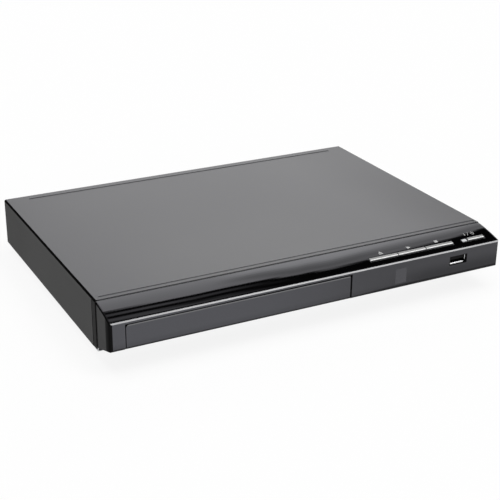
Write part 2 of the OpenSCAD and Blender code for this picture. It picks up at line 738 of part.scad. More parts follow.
module board_capacitors() color([0.15, 0.15, 0.3]) {
    // each as its place in parts of the board's width and length, then radius and height
    cans = [[0.27, 0.42, 3.2, 9], [0.155, 0.367, 2.5, 7], [0.7, 0.445, 3.2, 9],
        [0.815, 0.47, 2.5, 7], [0.41, 0.614, 2.5, 7], [0.59, 0.64, 2.5, 7], [0.7, 0.08, 4, 11],
        [0.3, 0.08, 2.5, 7]];
    for (c = cans) post([part_of(main_board_x, c[0]), part_of(main_board_y, c[1])], c[2],
        [board_top, board_top + c[3]]);
}

module picture_socket_shell() color(bare_steel) tube_shell(picture_x, picture_w, picture_z,
    picture_t, picture_y, picture_y + [picture_t, 1]);

module picture_socket_tongue() color([0.1, 0.1, 0.1]) {
    y = [picture_y[0] + picture_t, picture_y[1] - 1.5];
    block(around(picture_x, 6), y, around(board_top + picture_h / 2, 0.6));
    block(around(picture_x, picture_w / 2 - picture_t), [y[0], y[0] + 2.5],
        around(board_top + picture_h / 2, picture_h / 2 - picture_t));
}

module jack_block() color(black_plastic) difference() {
    union() {
        block([jack_x[0] - 6.2, jack_x[3] + 6.2], [panel_in - 12, panel_in],
            [board_top, jack_z + 6.4]);
        for (x = jack_x) bar_y(x, jack_z, jack_bore, [panel_in - 3, panel_y + jack_out - 2.5]);
    }
    for (x = jack_x) {
        difference() {
            bar_y(x, jack_z, jack_r - root_step, [panel_in - 3, panel_in + 1]);
            bar_y(x, jack_z, jack_bore, [panel_in - 4, panel_in + 2]);
        }
        bar_y(x, jack_z, 1.6, [panel_in - 8, panel_y + jack_out]);
    }
}

module jack_barrels() color(bare_steel) for (x = jack_x) difference() {
    union() {
        bar_y(x, jack_z, jack_r - root_step, [panel_in - 3, panel_y + ring_t + 1]);
        bar_y(x, jack_z, jack_r, [panel_y + ring_t, panel_y + jack_out]);
    }
    bar_y(x, jack_z, jack_bore, [panel_in - 4, panel_y + jack_out + 1]);
}

module jack_ring(x) difference() {
    bar_y(x, jack_z, jack_r + 1.4, [panel_y, panel_y + ring_t]);
    bar_y(x, jack_z, jack_r - root_step, [panel_y - 1, panel_y + ring_t + 1]);
}

module digital_audio_jack() color([0.85, 0.4, 0.1]) jack_ring(jack_x[0]);
module video_jack() color([0.9, 0.8, 0.1]) jack_ring(jack_x[1]);
module left_audio_jack() color([0.9, 0.9, 0.9]) jack_ring(jack_x[2]);
module right_audio_jack() color([0.75, 0.1, 0.1]) jack_ring(jack_x[3]);

// Power board

module power_board() color([0.75, 0.6, 0.35]) difference() {
    union() {
        block(power_board_x, power_board_y, [board_z, board_top]);
        block([power_board_x[0] + 2, power_board_x[0] + 8], around(cable_y, 5),
            [board_top, board_top + cable_plug_h]);
    }
    for (x = power_hole_x, y = power_hole_y) post([x, y], screw_r, [board_z - 1, board_top + 1]);
}

module transformer() color([0.85, 0.75, 0.3]) {
    at = [inlet_x + 1, part_of(power_board_y, 0.475)];
    core = [3, 13, 16];
    for (z = [[0, core[0]], [core[1], core[2]]])
        block(around(at[0], 11), around(at[1], 10), [board_top + z[0], board_top + z[1]]);
    for (s = [-1, 1]) block(around(at[0] + s * 9.5, 1.5), around(at[1], 10),
        [board_top + core[0], board_top + core[1]]);
    block(around(at[0], 8), around(at[1], 12), [board_top + core[0], board_top + core[1]]);
}

module heat_sink() color([0.8, 0.8, 0.82]) {
    y = around(part_of(power_board_y, 0.275), 11);
    block([inlet_x - 11, inlet_x - 9], y, [board_top, board_top + 18]);
    for (i = [0:4]) block([inlet_x - 9, inlet_x - 4], around(y[0] + 1 + 5 * i, 0.7),
        [board_top + 6, board_top + 18]);
}

module power_components() color([0.2, 0.2, 0.5]) {
    // cans: offset from the board's middle, part of its length, radius and height
    for (c = [[-4, 0.667, 8, 18], [6, 0.155, 4, 14], [6, 0.24, 4, 14], [0, 0.06, 3, 10]])
        post([inlet_x + c[0], part_of(power_board_y, c[1])], c[2], [board_top, board_top + c[3]]);
    // coils: offset from the board's middle, part of its length, half sides and height
    for (c = [[9, 0.69, 3, 9, 12], [7, 0.33, 5, 4, 9]]) block(around(inlet_x + c[0], c[2]),
        around(part_of(power_board_y, c[1]), c[3]), [board_top, board_top + c[4]]);
}

module inlet_recess() {
    for (x = around(inlet_x, pin_pitch / 2))
        bar_y(x, inlet_z, pin_pitch / 2, [inlet_y - inlet_deep, inlet_y + 1]);
    block(around(inlet_x, pin_pitch / 2), [inlet_y - inlet_deep, inlet_y + 1],
        around(inlet_z, pin_pitch / 2));
}

module mains_inlet() color(black_plastic) difference() {
    block(around(inlet_x, inlet_w / 2), [inlet_y - inlet_deep - 6, inlet_y],
        around(inlet_z, inlet_h / 2));
    inlet_recess();
    for (s = [-1, 1]) bar_y(inlet_x + s * pin_pitch / 2, inlet_z, pin_r - root_step,
        [inlet_y - inlet_deep - 4, inlet_y]);
}

module inlet_pins() color(bare_steel) for (x = around(inlet_x, pin_pitch / 2)) {
    bar_y(x, inlet_z, pin_r - root_step, [inlet_y - inlet_deep - 4, inlet_y - inlet_deep + 1]);
    bar_y(x, inlet_z, pin_r, [inlet_y - inlet_deep, inlet_y - 2.5]);
}

module power_cable() color([0.9, 0.9, 0.9]) {
    x = [main_board_x[1] - 6, power_board_x[0] + 5];
    z = board_top + cable_plug_h;
    translate([0, cable_y + 4, 0]) rotate([90, 0, 0]) linear_extrude(8)
        polygon([[x[0] - 0.5, z], [x[0] + 0.5, z], [x[0] + 3, z + 4], [x[1] - 3, z + 4],
            [x[1] - 0.5, z], [x[1] + 0.5, z], [x[1] - 2, z + 5.2], [x[0] + 2, z + 5.2]]);
}

// Loader frame

module loader_frame() color(black_plastic) difference() {
    union() {
        for (x = [[loader_x[0], loader_x[0] + loader_wall],
                [loader_x[1] - loader_wall, loader_x[1]]]) {
            block(x, loader_y, [floor_z, wall_top]);
            block(x, around(disc_y, 12), [wall_top - 0.2, bridge_z]);
        }
        // ledges that carry the tray, and tabs that hold it down
        for (x = [[loader_x[0] + 1, tray_x[0] + 3.6], [tray_x[1] - 2.8, loader_x[1] - 1]]) {
            block(x, loader_y, [tray_z - 2.2, tray_z - slack]);
            for (y = [loader_y[0] + 4, disc_y + 60, loader_y[1] - 10])
                block(x, around(y, 4), [rim_z + slack, wall_top]);
        }
        // deck in four strips round the traverse
        block([loader_x[0], traverse_x[0] - 1.2], loader_y, [floor_z, deck_z]);
        block([traverse_x[1] + 1.2, loader_x[1]], loader_y, [floor_z, deck_z]);
        block(loader_x, [loader_y[0], traverse_y[0] - 1.5], [floor_z, deck_z]);
        block(loader_x, [traverse_y[1] + 4, loader_y[1]], [floor_z, deck_z]);
        // uprights for the traverse's pivots
        for (x = upright_x) block([x, x + upright_t], around(pivot_y, 5), [floor_z, tray_z - 0.5]);
        // gear shafts and motor seat
        post(drive_at, shaft_r, [floor_z, tray_z - 0.8]);
        post(belt_gear_at, shaft_r, [floor_z, belt_z + 1.8]);
        post(loading_at, loading_can_r + 1.5, [floor_z, deck_z + 2.4]);
        // hooks over the cam slider's foot
        for (x = [disc_x - 26, disc_x - 4]) {
            block(around(x, 4), [cam_y[0] - 6.8, cam_y[0] - 4.1], [floor_z, deck_z + 3.6]);
            block(around(x, 4), [cam_y[0] - 6.8, cam_y[0] - 1.3], [deck_z + 2.3, deck_z + 3.6]);
        }
    }
    for (x = upright_x) bar_x(pivot_y, rod_z, bush_r, [x - 1, x + upright_t + 1]);
    for (x = loader_hole_x, y = loader_hole_y) post([x, y], screw_r, [floor_z - 1, deck_z + 1]);
    post(loading_at, loading_can_r, [deck_z, deck_z + 5]);
    block([loader_x[1] - 3, loader_x[1] + 1], around(pickup_ribbon_y, 6.2), [deck_z, deck_z + 2.2]);
}

module clamp_bridge() color(bare_steel) difference() {
    union() {
        block(loader_x, around(disc_y, 11), [bridge_z, bridge_z + 1]);
        post([disc_x, disc_y], 17, [bridge_z, bridge_z + 1]);
        for (s = [-1, 1], x = [[loader_x[0], disc_x - 22], [disc_x + 22, loader_x[1]]])
            block(x, around(disc_y + s * 10.5, 0.5), [bridge_z + 1, bridge_z + 2.6]);
    }
    post([disc_x, disc_y], clamper_neck_r + 0.5, [bridge_z - 1, bridge_z + 2]);
}

module disc_clamper() color([0.85, 0.85, 0.82]) translate([disc_x, disc_y, 0]) rotate_extrude()
    polygon([[0, clamp_z + 1.2], [6.5, clamp_z + 1.2], [8.5, clamp_z], [clamper_r, clamp_z],
        [clamper_r, clamp_z + 1.4], [clamper_neck_r, clamp_z + 2.2],
        [clamper_neck_r, bridge_z + 1 + slack], [clamper_head_r, bridge_z + 1 + slack],
        [clamper_head_r, bridge_z + 2.8], [6, bridge_z + 2.8], [5, bridge_z + 1.8],
        [0, bridge_z + 1.8]]);

module disc_tray() color(black_plastic) difference() {
    union() {
        block(tray_x, [tray_y[0], disc_y + disc_r + 5.5], [tray_z, rim_z]);
        block(tray_x, [disc_y + disc_r, tray_y[1]], [tray_z, rest_z + 0.6]);
        for (x = [[tray_x[0], tray_x[0] + 3], [tray_x[1] - 3, tray_x[1]]])
            block(x, [tray_y[0], tray_y[1]], [tray_z, rim_z]);
        slab_z([tray_z - 4.4, tray_z]) translate([tray_rack_x, 0])
            rack(tray_m, [drive_at[1] - 4, tray_y[1] - 0.5], 4, drive_at[1]);
    }
    post([disc_x, disc_y], disc_r + 0.6, [rest_z, rim_z + 1]);
    post([disc_x, disc_y], small_recess_r, [rest_z - 0.9, rim_z + 1]);
    post([disc_x, disc_y], slot_r, [tray_z - 1, rim_z + 1]);
    block(around(disc_x, slot_r), [disc_y, tray_y[1] + 1], [tray_z - 1, rim_z + 1]);
    post([disc_x, disc_y - disc_r + 2], 14, [rest_z, rim_z + 1]);
}

// Loading drive

module tray_drive_gear() color(cream) difference() {
    union() {
        post(drive_at, 3, [deck_z + slack, wheel_z[0]]);
        translate(drive_at) slab_z(wheel_z) gear(train_m, wheel_teeth, train_turn);
        translate(drive_at) slab_z([wheel_z[1], tray_z - 0.4]) gear(tray_m, tray_teeth, 0);
    }
    post(drive_at, shaft_r + run_gap, [deck_z - 1, tray_z]);
}

module pulley(at, groove_r) {
    post(at, groove_r, around(belt_z, pulley_half));
    for (z = [belt_z - pulley_half, belt_z + pulley_half - pulley_flange_t])
        post(at, groove_r + 1, [z, z + pulley_flange_t]);
}

module belt_gear() color(cream) difference() {
    union() {
        post(belt_gear_at, 3, [deck_z + slack, belt_pinion_z[0]]);
        translate(belt_gear_at) slab_z(belt_pinion_z)
            gear(train_m, belt_pinion_teeth, train_turn + 180 + 180 / belt_pinion_teeth);
        post(belt_gear_at, 3.5, [belt_pinion_z[1], belt_z - pulley_half]);
        pulley(belt_gear_at, belt_gear_r);
    }
    post(belt_gear_at, shaft_r + run_gap, [deck_z - 1, belt_z + 3]);
}

module motor_pulley() color(cream) difference() {
    pulley(loading_at, motor_groove_r);
    post(loading_at, motor_shaft_r + run_gap, [belt_z - 3, belt_z + 3]);
}

module belt_loop(grow) hull() {
    translate(belt_gear_at) circle(belt_gear_r + grow);
    translate(loading_at) circle(motor_groove_r + grow);
}

module drive_belt() color([0.08, 0.08, 0.08]) slab_z(around(belt_z, belt_t / 2)) difference() {
    belt_loop(belt_slack + belt_t);
    belt_loop(belt_slack);
}

module loading_motor() color(bare_steel) {
    post(loading_at, loading_can_r, [deck_z, loading_can_top]);
    post(loading_at, 2.6, [loading_can_top, loading_can_top + 0.6]);
    post(loading_at, motor_shaft_r, [loading_can_top + 0.6, belt_z + 1.8]);
}

module cam_slot(x) {
    slope = atan2(-cam_drop, cam_travel);
    run = norm([cam_travel, cam_drop]);
    translate([x, cam_y[1] + 1, cam_pin_z]) rotate([90, -slope, 0])
        linear_extrude(cam_y[1] - cam_y[0] + 2)
            capsule([-cam_pin_r - 0.5, run + cam_pin_r + 0.5], 0, cam_pin_r + 0.25);
}

module cam_slider() color(cream) difference() {
    union() {
        block([cam_pin_x[0] - 4, cam_pin_x[1] + 17], cam_y, [deck_z + slack, tray_z - 1.6]);
        block([cam_pin_x[0] - 4, cam_pin_x[1] + 17], [cam_y[0] - 3.8, cam_y[0]],
            [deck_z + slack, deck_z + 2]);
    }
    for (x = cam_pin_x) cam_slot(x);
}

// Traverse

module traverse_frame() color([0.16, 0.16, 0.17]) {
    difference() {
        union() {
            block(traverse_x, traverse_y, traverse_z);
            block([feed_at[0] - 8.2, disc_x - 27.2], around(feed_at[1], 3), [traverse_z[1],
                traverse_z[1] + 1.8]);
        }
        post([disc_x, disc_y], spindle_can_r, [traverse_z[0] - 1, traverse_z[1] + 1]);
        block([disc_x - 27, disc_x + 25], sled_window, [traverse_z[0] - 1, traverse_z[1]]);
        block([feed_at[0] - 6.7, disc_x - 26], around(feed_at[1], 6.5),
            [traverse_z[0] - 1, traverse_z[1]]);
        post(feed_motor_at, feed_can_r, [traverse_z[0] - 1, traverse_z[1] + 1]);
        for (s = [-1, 1]) bar_y(disc_x + s * rod_half, rod_z, guide_r, rod_y);
        block([traverse_x[0] + 3, disc_x - 30], [disc_y - 20, sled_front + 14],
            [traverse_z[0] + 2, traverse_z[1] + 1]);
    }
    post(feed_at, feed_shaft_r, [traverse_z[0] - 4.2, traverse_z[1] + 1]);
    post(feed_at, 1.8, [traverse_z[0] - 4.6, traverse_z[0] - 4.2]);
    bar_x(pivot_y, rod_z, pivot_r, [traverse_x[0] - 7.2, traverse_x[0] + 2]);
    bar_x(pivot_y, rod_z, pivot_r, [traverse_x[1] - 2, traverse_x[1] + 7.2]);
    for (x = cam_pin_x) bar_y(x, cam_pin_z, cam_pin_r, [cam_y[0] - 0.8, traverse_y[0] + 1]);
}

module pivot_bushes() color([0.1, 0.1, 0.1])
    for (x = upright_x) difference() {
        bar_x(pivot_y, rod_z, bush_r, [x, x + upright_t]);
        bar_x(pivot_y, rod_z, pivot_r + run_gap, [x - 1, x + upright_t + 1]);
    }

module spindle_motor() color(bare_steel) {
    post([disc_x, disc_y], spindle_can_r, [traverse_z[0] - 1.1, traverse_z[1]]);
    post([disc_x, disc_y], spindle_can_r + 2, [traverse_z[1], traverse_z[1] + 0.6]);
    post([disc_x, disc_y], spindle_shaft_r, [traverse_z[1] + 0.6, disc_seat_z + 1.6]);
}

module turntable() color([0.15, 0.15, 0.16]) translate([disc_x, disc_y, 0]) rotate_extrude()
    polygon([[spindle_shaft_r + run_gap, traverse_z[1] + 1], [neck_r, traverse_z[1] + 1],
        [neck_r, disc_seat_z - table_t], [table_r, disc_seat_z - table_t], [table_r, disc_seat_z],
        [hub_r, disc_seat_z], [hub_r, disc_seat_z + 1], [hub_r - 1.4, disc_seat_z + hub_h],
        [0, disc_seat_z + hub_h], [0, disc_seat_z + hub_h - 0.8],
        [spindle_shaft_r + run_gap, disc_seat_z + hub_h - 0.8]]);

module guide_rods() color([0.85, 0.86, 0.88]) for (s = [-1, 1])
    bar_y(disc_x + s * rod_half, rod_z, guide_r, rod_y);

module pickup_sled() color([0.3, 0.3, 0.33]) difference() {
    union() {
        block(around(disc_x, 16.5), sled_y, sled_z);
        block([disc_x - 23.5, disc_x - 16], sled_y, sled_z);
        block([disc_x + 16, disc_x + 23.5], around((sled_y[0] + sled_y[1]) / 2, 5), sled_z);
        block(around(disc_x, 10), around(lens_y, 7.5), [sled_z[1], disc_seat_z - 3.6]);
        slab_z([sled_z[0], sled_z[0] + 3.2]) translate([sled_rack_x, 0])
            rack(sled_m, sled_rack_y, 1.7, feed_at[1]);
    }
    for (s = [-1, 1]) bar_y(disc_x + s * rod_half, rod_z, guide_r + run_gap,
        [sled_y[0] - 1, sled_y[1] + 1]);
    post([disc_x, lens_y], 5, [disc_seat_z - 5, disc_seat_z]);
}

module pickup_lens() color([0.5, 0.6, 0.9]) translate([disc_x, lens_y, 0]) rotate_extrude()
    polygon(concat([[0, disc_seat_z - 5], [5, disc_seat_z - 5], [5, disc_seat_z - 3.4],
        [3.6, disc_seat_z - 2.6], [3, disc_seat_z - 2.6]],
        [for (i = [0:5]) [2.8 * cos(18 * i), disc_seat_z - 2.6 + 1 * sin(18 * i)]]));

module feed_motor() color(bare_steel) {
    post(feed_motor_at, feed_can_r, [traverse_z[0] - 1, traverse_z[1] + 1.8]);
    post(feed_motor_at, feed_motor_shaft_r, [traverse_z[0] - 4.4, traverse_z[0] - 1]);
}

module feed_pinion() color(cream) difference() {
    translate(feed_motor_at) slab_z([traverse_z[0] - 3.7, traverse_z[0] - 2])
        gear(feed_m, feed_pinion_teeth, feed_turn + 180 + 180 / feed_pinion_teeth);
    post(feed_motor_at, feed_motor_shaft_r + run_gap, [traverse_z[0] - 6, traverse_z[0]]);
}

module feed_gear() color(cream) difference() {
    translate(feed_at) {
        slab_z([traverse_z[0] - 3.9, traverse_z[0] - 1.8]) gear(feed_m, feed_teeth, feed_turn);
        slab_z([traverse_z[0] - 1.8, traverse_z[1] - 0.8]) gear(sled_m, sled_teeth, 0);
    }
    post(feed_at, feed_shaft_r + run_gap, [traverse_z[0] - 6, traverse_z[1] + 1]);
}

module pickup_ribbon() color([0.85, 0.85, 0.82]) {
    x = [main_board_x[0] + 4, main_board_x[0] - 2, loader_x[1] + 3, traverse_x[1] - 3,
        traverse_x[1] - 6, traverse_x[1] - 12];
    z = [board_top, board_top, deck_z, deck_z, traverse_z[0] - 2.4, traverse_z[0] - 2.4];
    translate([0, pickup_ribbon_y + 5, 0]) rotate([90, 0, 0]) linear_extrude(10)
        polygon(concat([for (i = [0:5]) [x[i], z[i] + ribbon_lift]],
            [for (i = [5:-1:0]) [x[i], z[i] + ribbon_lift + ribbon_t]]));
}

top_cover();
bottom_chassis();
rear_panel();
feet();
cover_screws();
inner_screws();
front_bezel();
top_strip();
tray_door();
open_close_key();
play_key();
stop_key();
power_key();
standby_light();
receiver_window();
remote_receiver();
front_board();
key_switches();
front_socket_shell();
front_socket_tongue();
front_ribbon();
main_board();
main_chips();
board_capacitors();
picture_socket_shell();
picture_socket_tongue();
jack_block();
jack_barrels();
video_jack();
left_audio_jack();
right_audio_jack();
digital_audio_jack();
power_board();
transformer();
heat_sink();
power_components();
mains_inlet();
inlet_pins();
power_cable();
loader_frame();
clamp_bridge();
disc_clamper();
disc_tray();
tray_drive_gear();
belt_gear();
drive_belt();
motor_pulley();
loading_motor();
cam_slider();
traverse_frame();
pivot_bushes();
spindle_motor();
turntable();
guide_rods();
pickup_sled();
pickup_lens();
feed_motor();
feed_pinion();
feed_gear();
pickup_ribbon();
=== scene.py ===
# %% [markdown]
# # A slim disc player, dressed for its portrait
# The object is a low set-top player: a folded steel cover, a plastic front with a glossy black
# key strip, and a disc tray behind a door on the left. Its solids and joints already exist as a
# packed model. This script loads them as a fixed frame and adds what a solid can't say: finishes,
# printed symbols and thin trims. Nothing of the frame is moved, so each new piece is placed by
# asking the frame where its neighbours are.

# %% Load the packed model
import math
import bmesh
import bpy
from mathutils import Matrix, Vector


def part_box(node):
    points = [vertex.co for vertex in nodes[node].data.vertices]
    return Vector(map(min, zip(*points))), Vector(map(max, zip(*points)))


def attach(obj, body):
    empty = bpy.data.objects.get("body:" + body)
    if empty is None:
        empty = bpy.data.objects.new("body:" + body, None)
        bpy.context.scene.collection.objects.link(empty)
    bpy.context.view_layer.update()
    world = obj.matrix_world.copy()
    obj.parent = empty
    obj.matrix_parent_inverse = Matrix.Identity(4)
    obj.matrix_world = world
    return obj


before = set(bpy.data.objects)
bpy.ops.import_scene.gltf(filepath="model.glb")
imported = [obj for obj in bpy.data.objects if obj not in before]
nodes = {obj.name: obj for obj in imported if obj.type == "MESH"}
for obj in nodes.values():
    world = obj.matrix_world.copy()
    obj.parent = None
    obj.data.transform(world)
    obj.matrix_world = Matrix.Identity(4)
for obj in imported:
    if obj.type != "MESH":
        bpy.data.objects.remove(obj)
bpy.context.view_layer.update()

# %% [markdown]
# ## The viewpoint
# The player is seen from its front left corner, a little from above, through a long lens. The
# viewpoint could be set by eye, but a small error shows along every straight edge. So it is
# written as the numbers that make the box's edges meet: a place in metres, two turns round the
# object and a slight roll, which together give the camera's three own axes.

# %% Camera
place = Vector((-0.32751, -0.63604, 0.32244))
turn, rise, roll = (math.radians(v) for v in (-27.685, 23.443, 0.584))
back = Vector((math.sin(turn) * math.cos(rise), -math.cos(turn) * math.cos(rise), math.sin(rise)))
right = Vector((0, 0, 1)).cross(back).normalized()
up = back.cross(right)
across = right * math.cos(roll) + up * math.sin(roll)
upward = up * math.cos(roll) - right * math.sin(roll)
lens = bpy.data.cameras.new("viewpoint")
lens.lens, lens.sensor_width = 82.58, 36.0
lens.clip_start, lens.clip_end = 0.01, 50.0
camera = bpy.data.objects.new("viewpoint", lens)
axes = Matrix((across, upward, back)).transposed().to_4x4()
camera.matrix_world = Matrix.Translation(place) @ axes
bpy.context.collection.objects.link(camera)
bpy.context.scene.camera = camera
print("camera at", [round(v, 4) for v in place], "lens", lens.lens)

# %% [markdown]
# ## Nodes in plain Python
# Every finish below is a small node tree. Trees could be built with a call for each node and
# each link, but a mask such as one minus the clouds is then spread over many lines. Here a Wire
# holds one output, and its operators add the Math nodes, so a mask reads like the sum it is.
# Colours and vectors never go through Math nodes, which would turn them grey.

# %% Wire
class Wire:
    """One number flowing through a node tree, which can be used in sums and products."""

    def __init__(self, tree, socket):
        self.tree, self.socket = tree, socket

    def maths(self, operation, first, second, clamp=False):
        settings = {"operation": operation, "use_clamp": clamp}
        return Wire(self.tree, self.tree.node("ShaderNodeMath", settings, {0: first, 1: second}).outputs[0])

    def __add__(self, other):
        return self.maths("ADD", self, other)

    def __sub__(self, other):
        return self.maths("SUBTRACT", self, other)

    def __rsub__(self, other):
        return self.maths("SUBTRACT", other, self)

    def __mul__(self, other):
        return self.maths("MULTIPLY", self, other)

    def __truediv__(self, other):
        return self.maths("DIVIDE", self, other)

    def __gt__(self, other):
        return self.maths("GREATER_THAN", self, other)

    def __lt__(self, other):
        return self.maths("LESS_THAN", self, other)

    __radd__, __rmul__ = __add__, __mul__

    def least(self, other):
        return self.maths("MINIMUM", self, other)

    def most(self, other):
        return self.maths("MAXIMUM", self, other)

    def within(self, low, high):
        """1 between the two values and 0 outside them."""
        return (self > low) * (self < high)

    def held(self):
        """The same number, kept between 0 and 1."""
        return self.maths("ADD", self, 0.0, clamp=True)


print("Wire", [name for name in vars(Wire) if not name.startswith("_")])

# %% [markdown]
# ## One method for every other node
# A node has settings, such as an operation, and sockets, which take a value or a link. Some
# sockets only exist once the settings are made, so the settings come first. A Tree does that for
# any node. It also keeps what every tree here needs: soft steps up and down, and colour mixing.

# %% Tree
def solid_colour(*levels):
    """A colour for a socket, from its red, green and blue, or from one level for a grey."""
    red, green, blue = levels if len(levels) == 3 else levels * 3
    return (red, green, blue, 1.0)


class Tree:
    """A node tree with one way of adding a node."""

    def __init__(self, node_tree):
        self.nodes, self.links = node_tree.nodes, node_tree.links
        self.nodes.clear()

    def node(self, kind, settings=None, sockets=None):
        made = self.nodes.new(kind)
        for name, value in (settings or {}).items():
            setattr(made, name, value)
        self.fill(made, sockets or {})
        return made

    def fill(self, made, sockets):
        """Gives sockets their constants and links."""
        for name, value in sockets.items():
            source = value.socket if isinstance(value, Wire) else value
            if isinstance(source, bpy.types.NodeSocket):
                self.links.new(source, made.inputs[name])
            else:
                made.inputs[name].default_value = source

    def step(self, wire, low, high):
        """A soft step from 0 at low to 1 at high."""
        sockets = {"Value": wire, "From Min": low, "From Max": high}
        made = self.node("ShaderNodeMapRange", {"interpolation_type": "SMOOTHSTEP"}, sockets)
        return Wire(self, made.outputs[0])

    def fall(self, wire, low, high):
        """A soft step from 1 at low to 0 at high."""
        return 1.0 - self.step(wire, low, high)

    def band(self, wire, rise_start, rise_end, fall_start, fall_end):
        """A soft step up from 0 to 1, and further on a soft step down again."""
        return self.step(wire, rise_start, rise_end) - self.step(wire, fall_start, fall_end)

    def mix(self, first, second, amount):
        """The first colour where amount is 0, the second where it is 1."""
        sockets = {0: amount, 6: first, 7: second}
        return self.node("ShaderNodeMix", {"data_type": "RGBA"}, sockets).outputs[2]


print("Tree", [name for name in vars(Tree) if not name.startswith("_")])

# %% [markdown]
# ## A finish, measured in millimetres
# A material could be started afresh each time, but all of them need the same beginning: one
# Principled shader, and the place on the object. Blender counts in metres, and the place is turned
# into millimetres, so that a grain of 0.3 is one of 0.3 mm on any piece. A Finish is a Tree with
# that beginning. It adds what real surfaces share: clouds, grains, edges and small bumps.

# %% Finish
millimetre = 0.001


class Finish(Tree):
    """A material for one real surface, measured in the object's millimetres."""

    def __init__(self, name):
        self.material = bpy.data.materials.new(name)
        self.material.use_nodes = True
        super().__init__(self.material.node_tree)
        self.shader = self.node("ShaderNodeBsdfPrincipled")
        self.surface = self.node("ShaderNodeOutputMaterial", {}, {"Surface": self.shader.outputs[0]})
        metres = self.node("ShaderNodeTexCoord").outputs["Object"]
        self.place = self.vector("SCALE", {0: metres, "Scale": 1.0 / millimetre}).outputs[0]

    def vector(self, operation, sockets):
        return self.node("ShaderNodeVectorMath", {"operation": operation}, sockets)

    def noise(self, size, detail=2.0, stretch=None):
        """Clouds of about this size in millimetres, from 0 to 1."""
        where = self.vector("MULTIPLY", {0: self.place, 1: stretch}).outputs[0] if stretch else self.place
        sockets = {"Vector": where, "Scale": 1.0 / size, "Detail": detail}
        return Wire(self, self.node("ShaderNodeTexNoise", {}, sockets).outputs[0])

    def cells(self, size):
        """Grains of about this size in millimetres, darkest in their middles."""
        made = self.node("ShaderNodeTexVoronoi", {}, {"Vector": self.place, "Scale": 1.0 / size})
        return Wire(self, made.outputs["Distance"])

    def xyz(self):
        """The place on the object as three wires, in millimetres."""
        parts = self.node("ShaderNodeSeparateXYZ", {}, {0: self.place})
        return [Wire(self, socket) for socket in parts.outputs]

    def facing(self):
        """The surface's direction as three wires: right, rear and up."""
        facing = self.node("ShaderNodeNewGeometry").outputs["True Normal"]
        parts = self.node("ShaderNodeSeparateXYZ", {}, {0: facing})
        return [Wire(self, socket) for socket in parts.outputs]

    def soft_edge(self, radius):
        """The direction of a surface whose sharp edges are rounded by a radius in millimetres."""
        return self.node("ShaderNodeBevel", {"samples": 4}, {"Radius": radius * millimetre}).outputs[0]

    def worn_edge(self, radius, gain):
        """1 on the sharp edges and 0 on the flats."""
        flat = self.node("ShaderNodeNewGeometry").outputs["Normal"]
        same = self.vector("DOT_PRODUCT", {0: self.soft_edge(radius), 1: flat}).outputs["Value"]
        return ((1.0 - Wire(self, same)) * gain).held()

    def bump(self, height, depth, normal=None):
        """Raises the surface where height is 1, by a depth in millimetres."""
        sockets = {"Height": height, "Distance": depth * millimetre, "Strength": 1.0}
        if normal is not None:
            sockets["Normal"] = normal
        return self.node("ShaderNodeBump", {}, sockets).outputs[0]

    def finish_with(self, second, amount):
        """Shows a second shader instead of the first where amount is 1."""
        sockets = {0: amount, 1: self.shader.outputs[0], 2: second.outputs[0]}
        mixed = self.node("ShaderNodeMixShader", {}, sockets)
        self.links.new(mixed.outputs[0], self.surface.inputs["Surface"])

    def painted_shade(self, roughness):
        """A second shader, near black and mirroring next to nothing, mixed in as painted shade."""
        return self.node("ShaderNodeBsdfPrincipled", {}, {
            "Base Color": solid_colour(0.004), "Roughness": roughness, "Specular IOR Level": 0.0})

    def set(self, **sockets):
        """Gives the shader's sockets their constants and links: Base_Color stands for Base Color."""
        self.fill(self.shader, {name.replace("_", " "): value for name, value in sockets.items()})
        return self.material


print("Finish", [name for name in vars(Finish) if not name.startswith("_")])

# %% [markdown]
# ## The paper floor
# The player stands on white paper. Real paper never clips to pure white under an even light, so
# the floor takes most of its white from Light Path instead: what the camera or a mirror sees
# glows, and only the rest is lit. That keeps the soft shadow that sets the player on the paper.

# %% Floor
def mesh_object(name, sheet):
    """Turns a finished bmesh into an object of the scene."""
    mesh = bpy.data.meshes.new(name)
    sheet.to_mesh(mesh)
    sheet.free()
    made = bpy.data.objects.new(name, mesh)
    bpy.context.collection.objects.link(made)
    return made


floor_reach, floor_gap = 12.0, 0.02 * millimetre
grid = bmesh.new()
bmesh.ops.create_grid(grid, x_segments=4, y_segments=4, size=floor_reach)
floor = mesh_object("paper_floor", grid)
floor.location.z = -floor_gap
paper = Finish("white_paper")
tooth = paper.noise(0.8, detail=3.0)
paper.set(Base_Color=paper.mix(solid_colour(0.9), solid_colour(0.93), tooth), Roughness=1.0,
          Specular_IOR_Level=0.0)
whiteness = 0.86
ray = paper.node("ShaderNodeLightPath").outputs
seen = Wire(paper, ray["Is Camera Ray"]).most(Wire(paper, ray["Is Glossy Ray"]))
seen = seen.most(Wire(paper, ray["Is Transmission Ray"]))
white = paper.node("ShaderNodeEmission", {}, {"Color": solid_colour(1.0), "Strength": 1.0})
paper.finish_with(white, seen * whiteness)
floor.data.materials.append(paper.material)
print("floor", floor.name, "at", floor.location.z)

# %% [markdown]
# ## A plain studio
# A picture of a sky would light the player too, but its colours would tint the black paint. The
# sky here is a white wall of light all round with a black ceiling above it. The flat cover mirrors
# the wall, and the raked key strip mirrors its upper edge: grey near the seam and black in front.
# The wall is a little uneven there, with a pale and a dark streak, its edge sags and swells, and
# on the left a little light leaks between the ceiling's panels in two faint bands. The left rear
# corner of the room is dark, which darkens the folded edge of the cover, where a black line of
# painted shade lies as well.

# %% Sky
sky = bpy.data.worlds.new("studio")
sky.use_nodes = True
bpy.context.scene.world = sky
room = Tree(sky.node_tree)
way = room.node("ShaderNodeSeparateXYZ", {}, {0: room.node("ShaderNodeTexCoord").outputs["Generated"]})
right_way, rear_way, up_way = (Wire(room, socket) for socket in way.outputs)

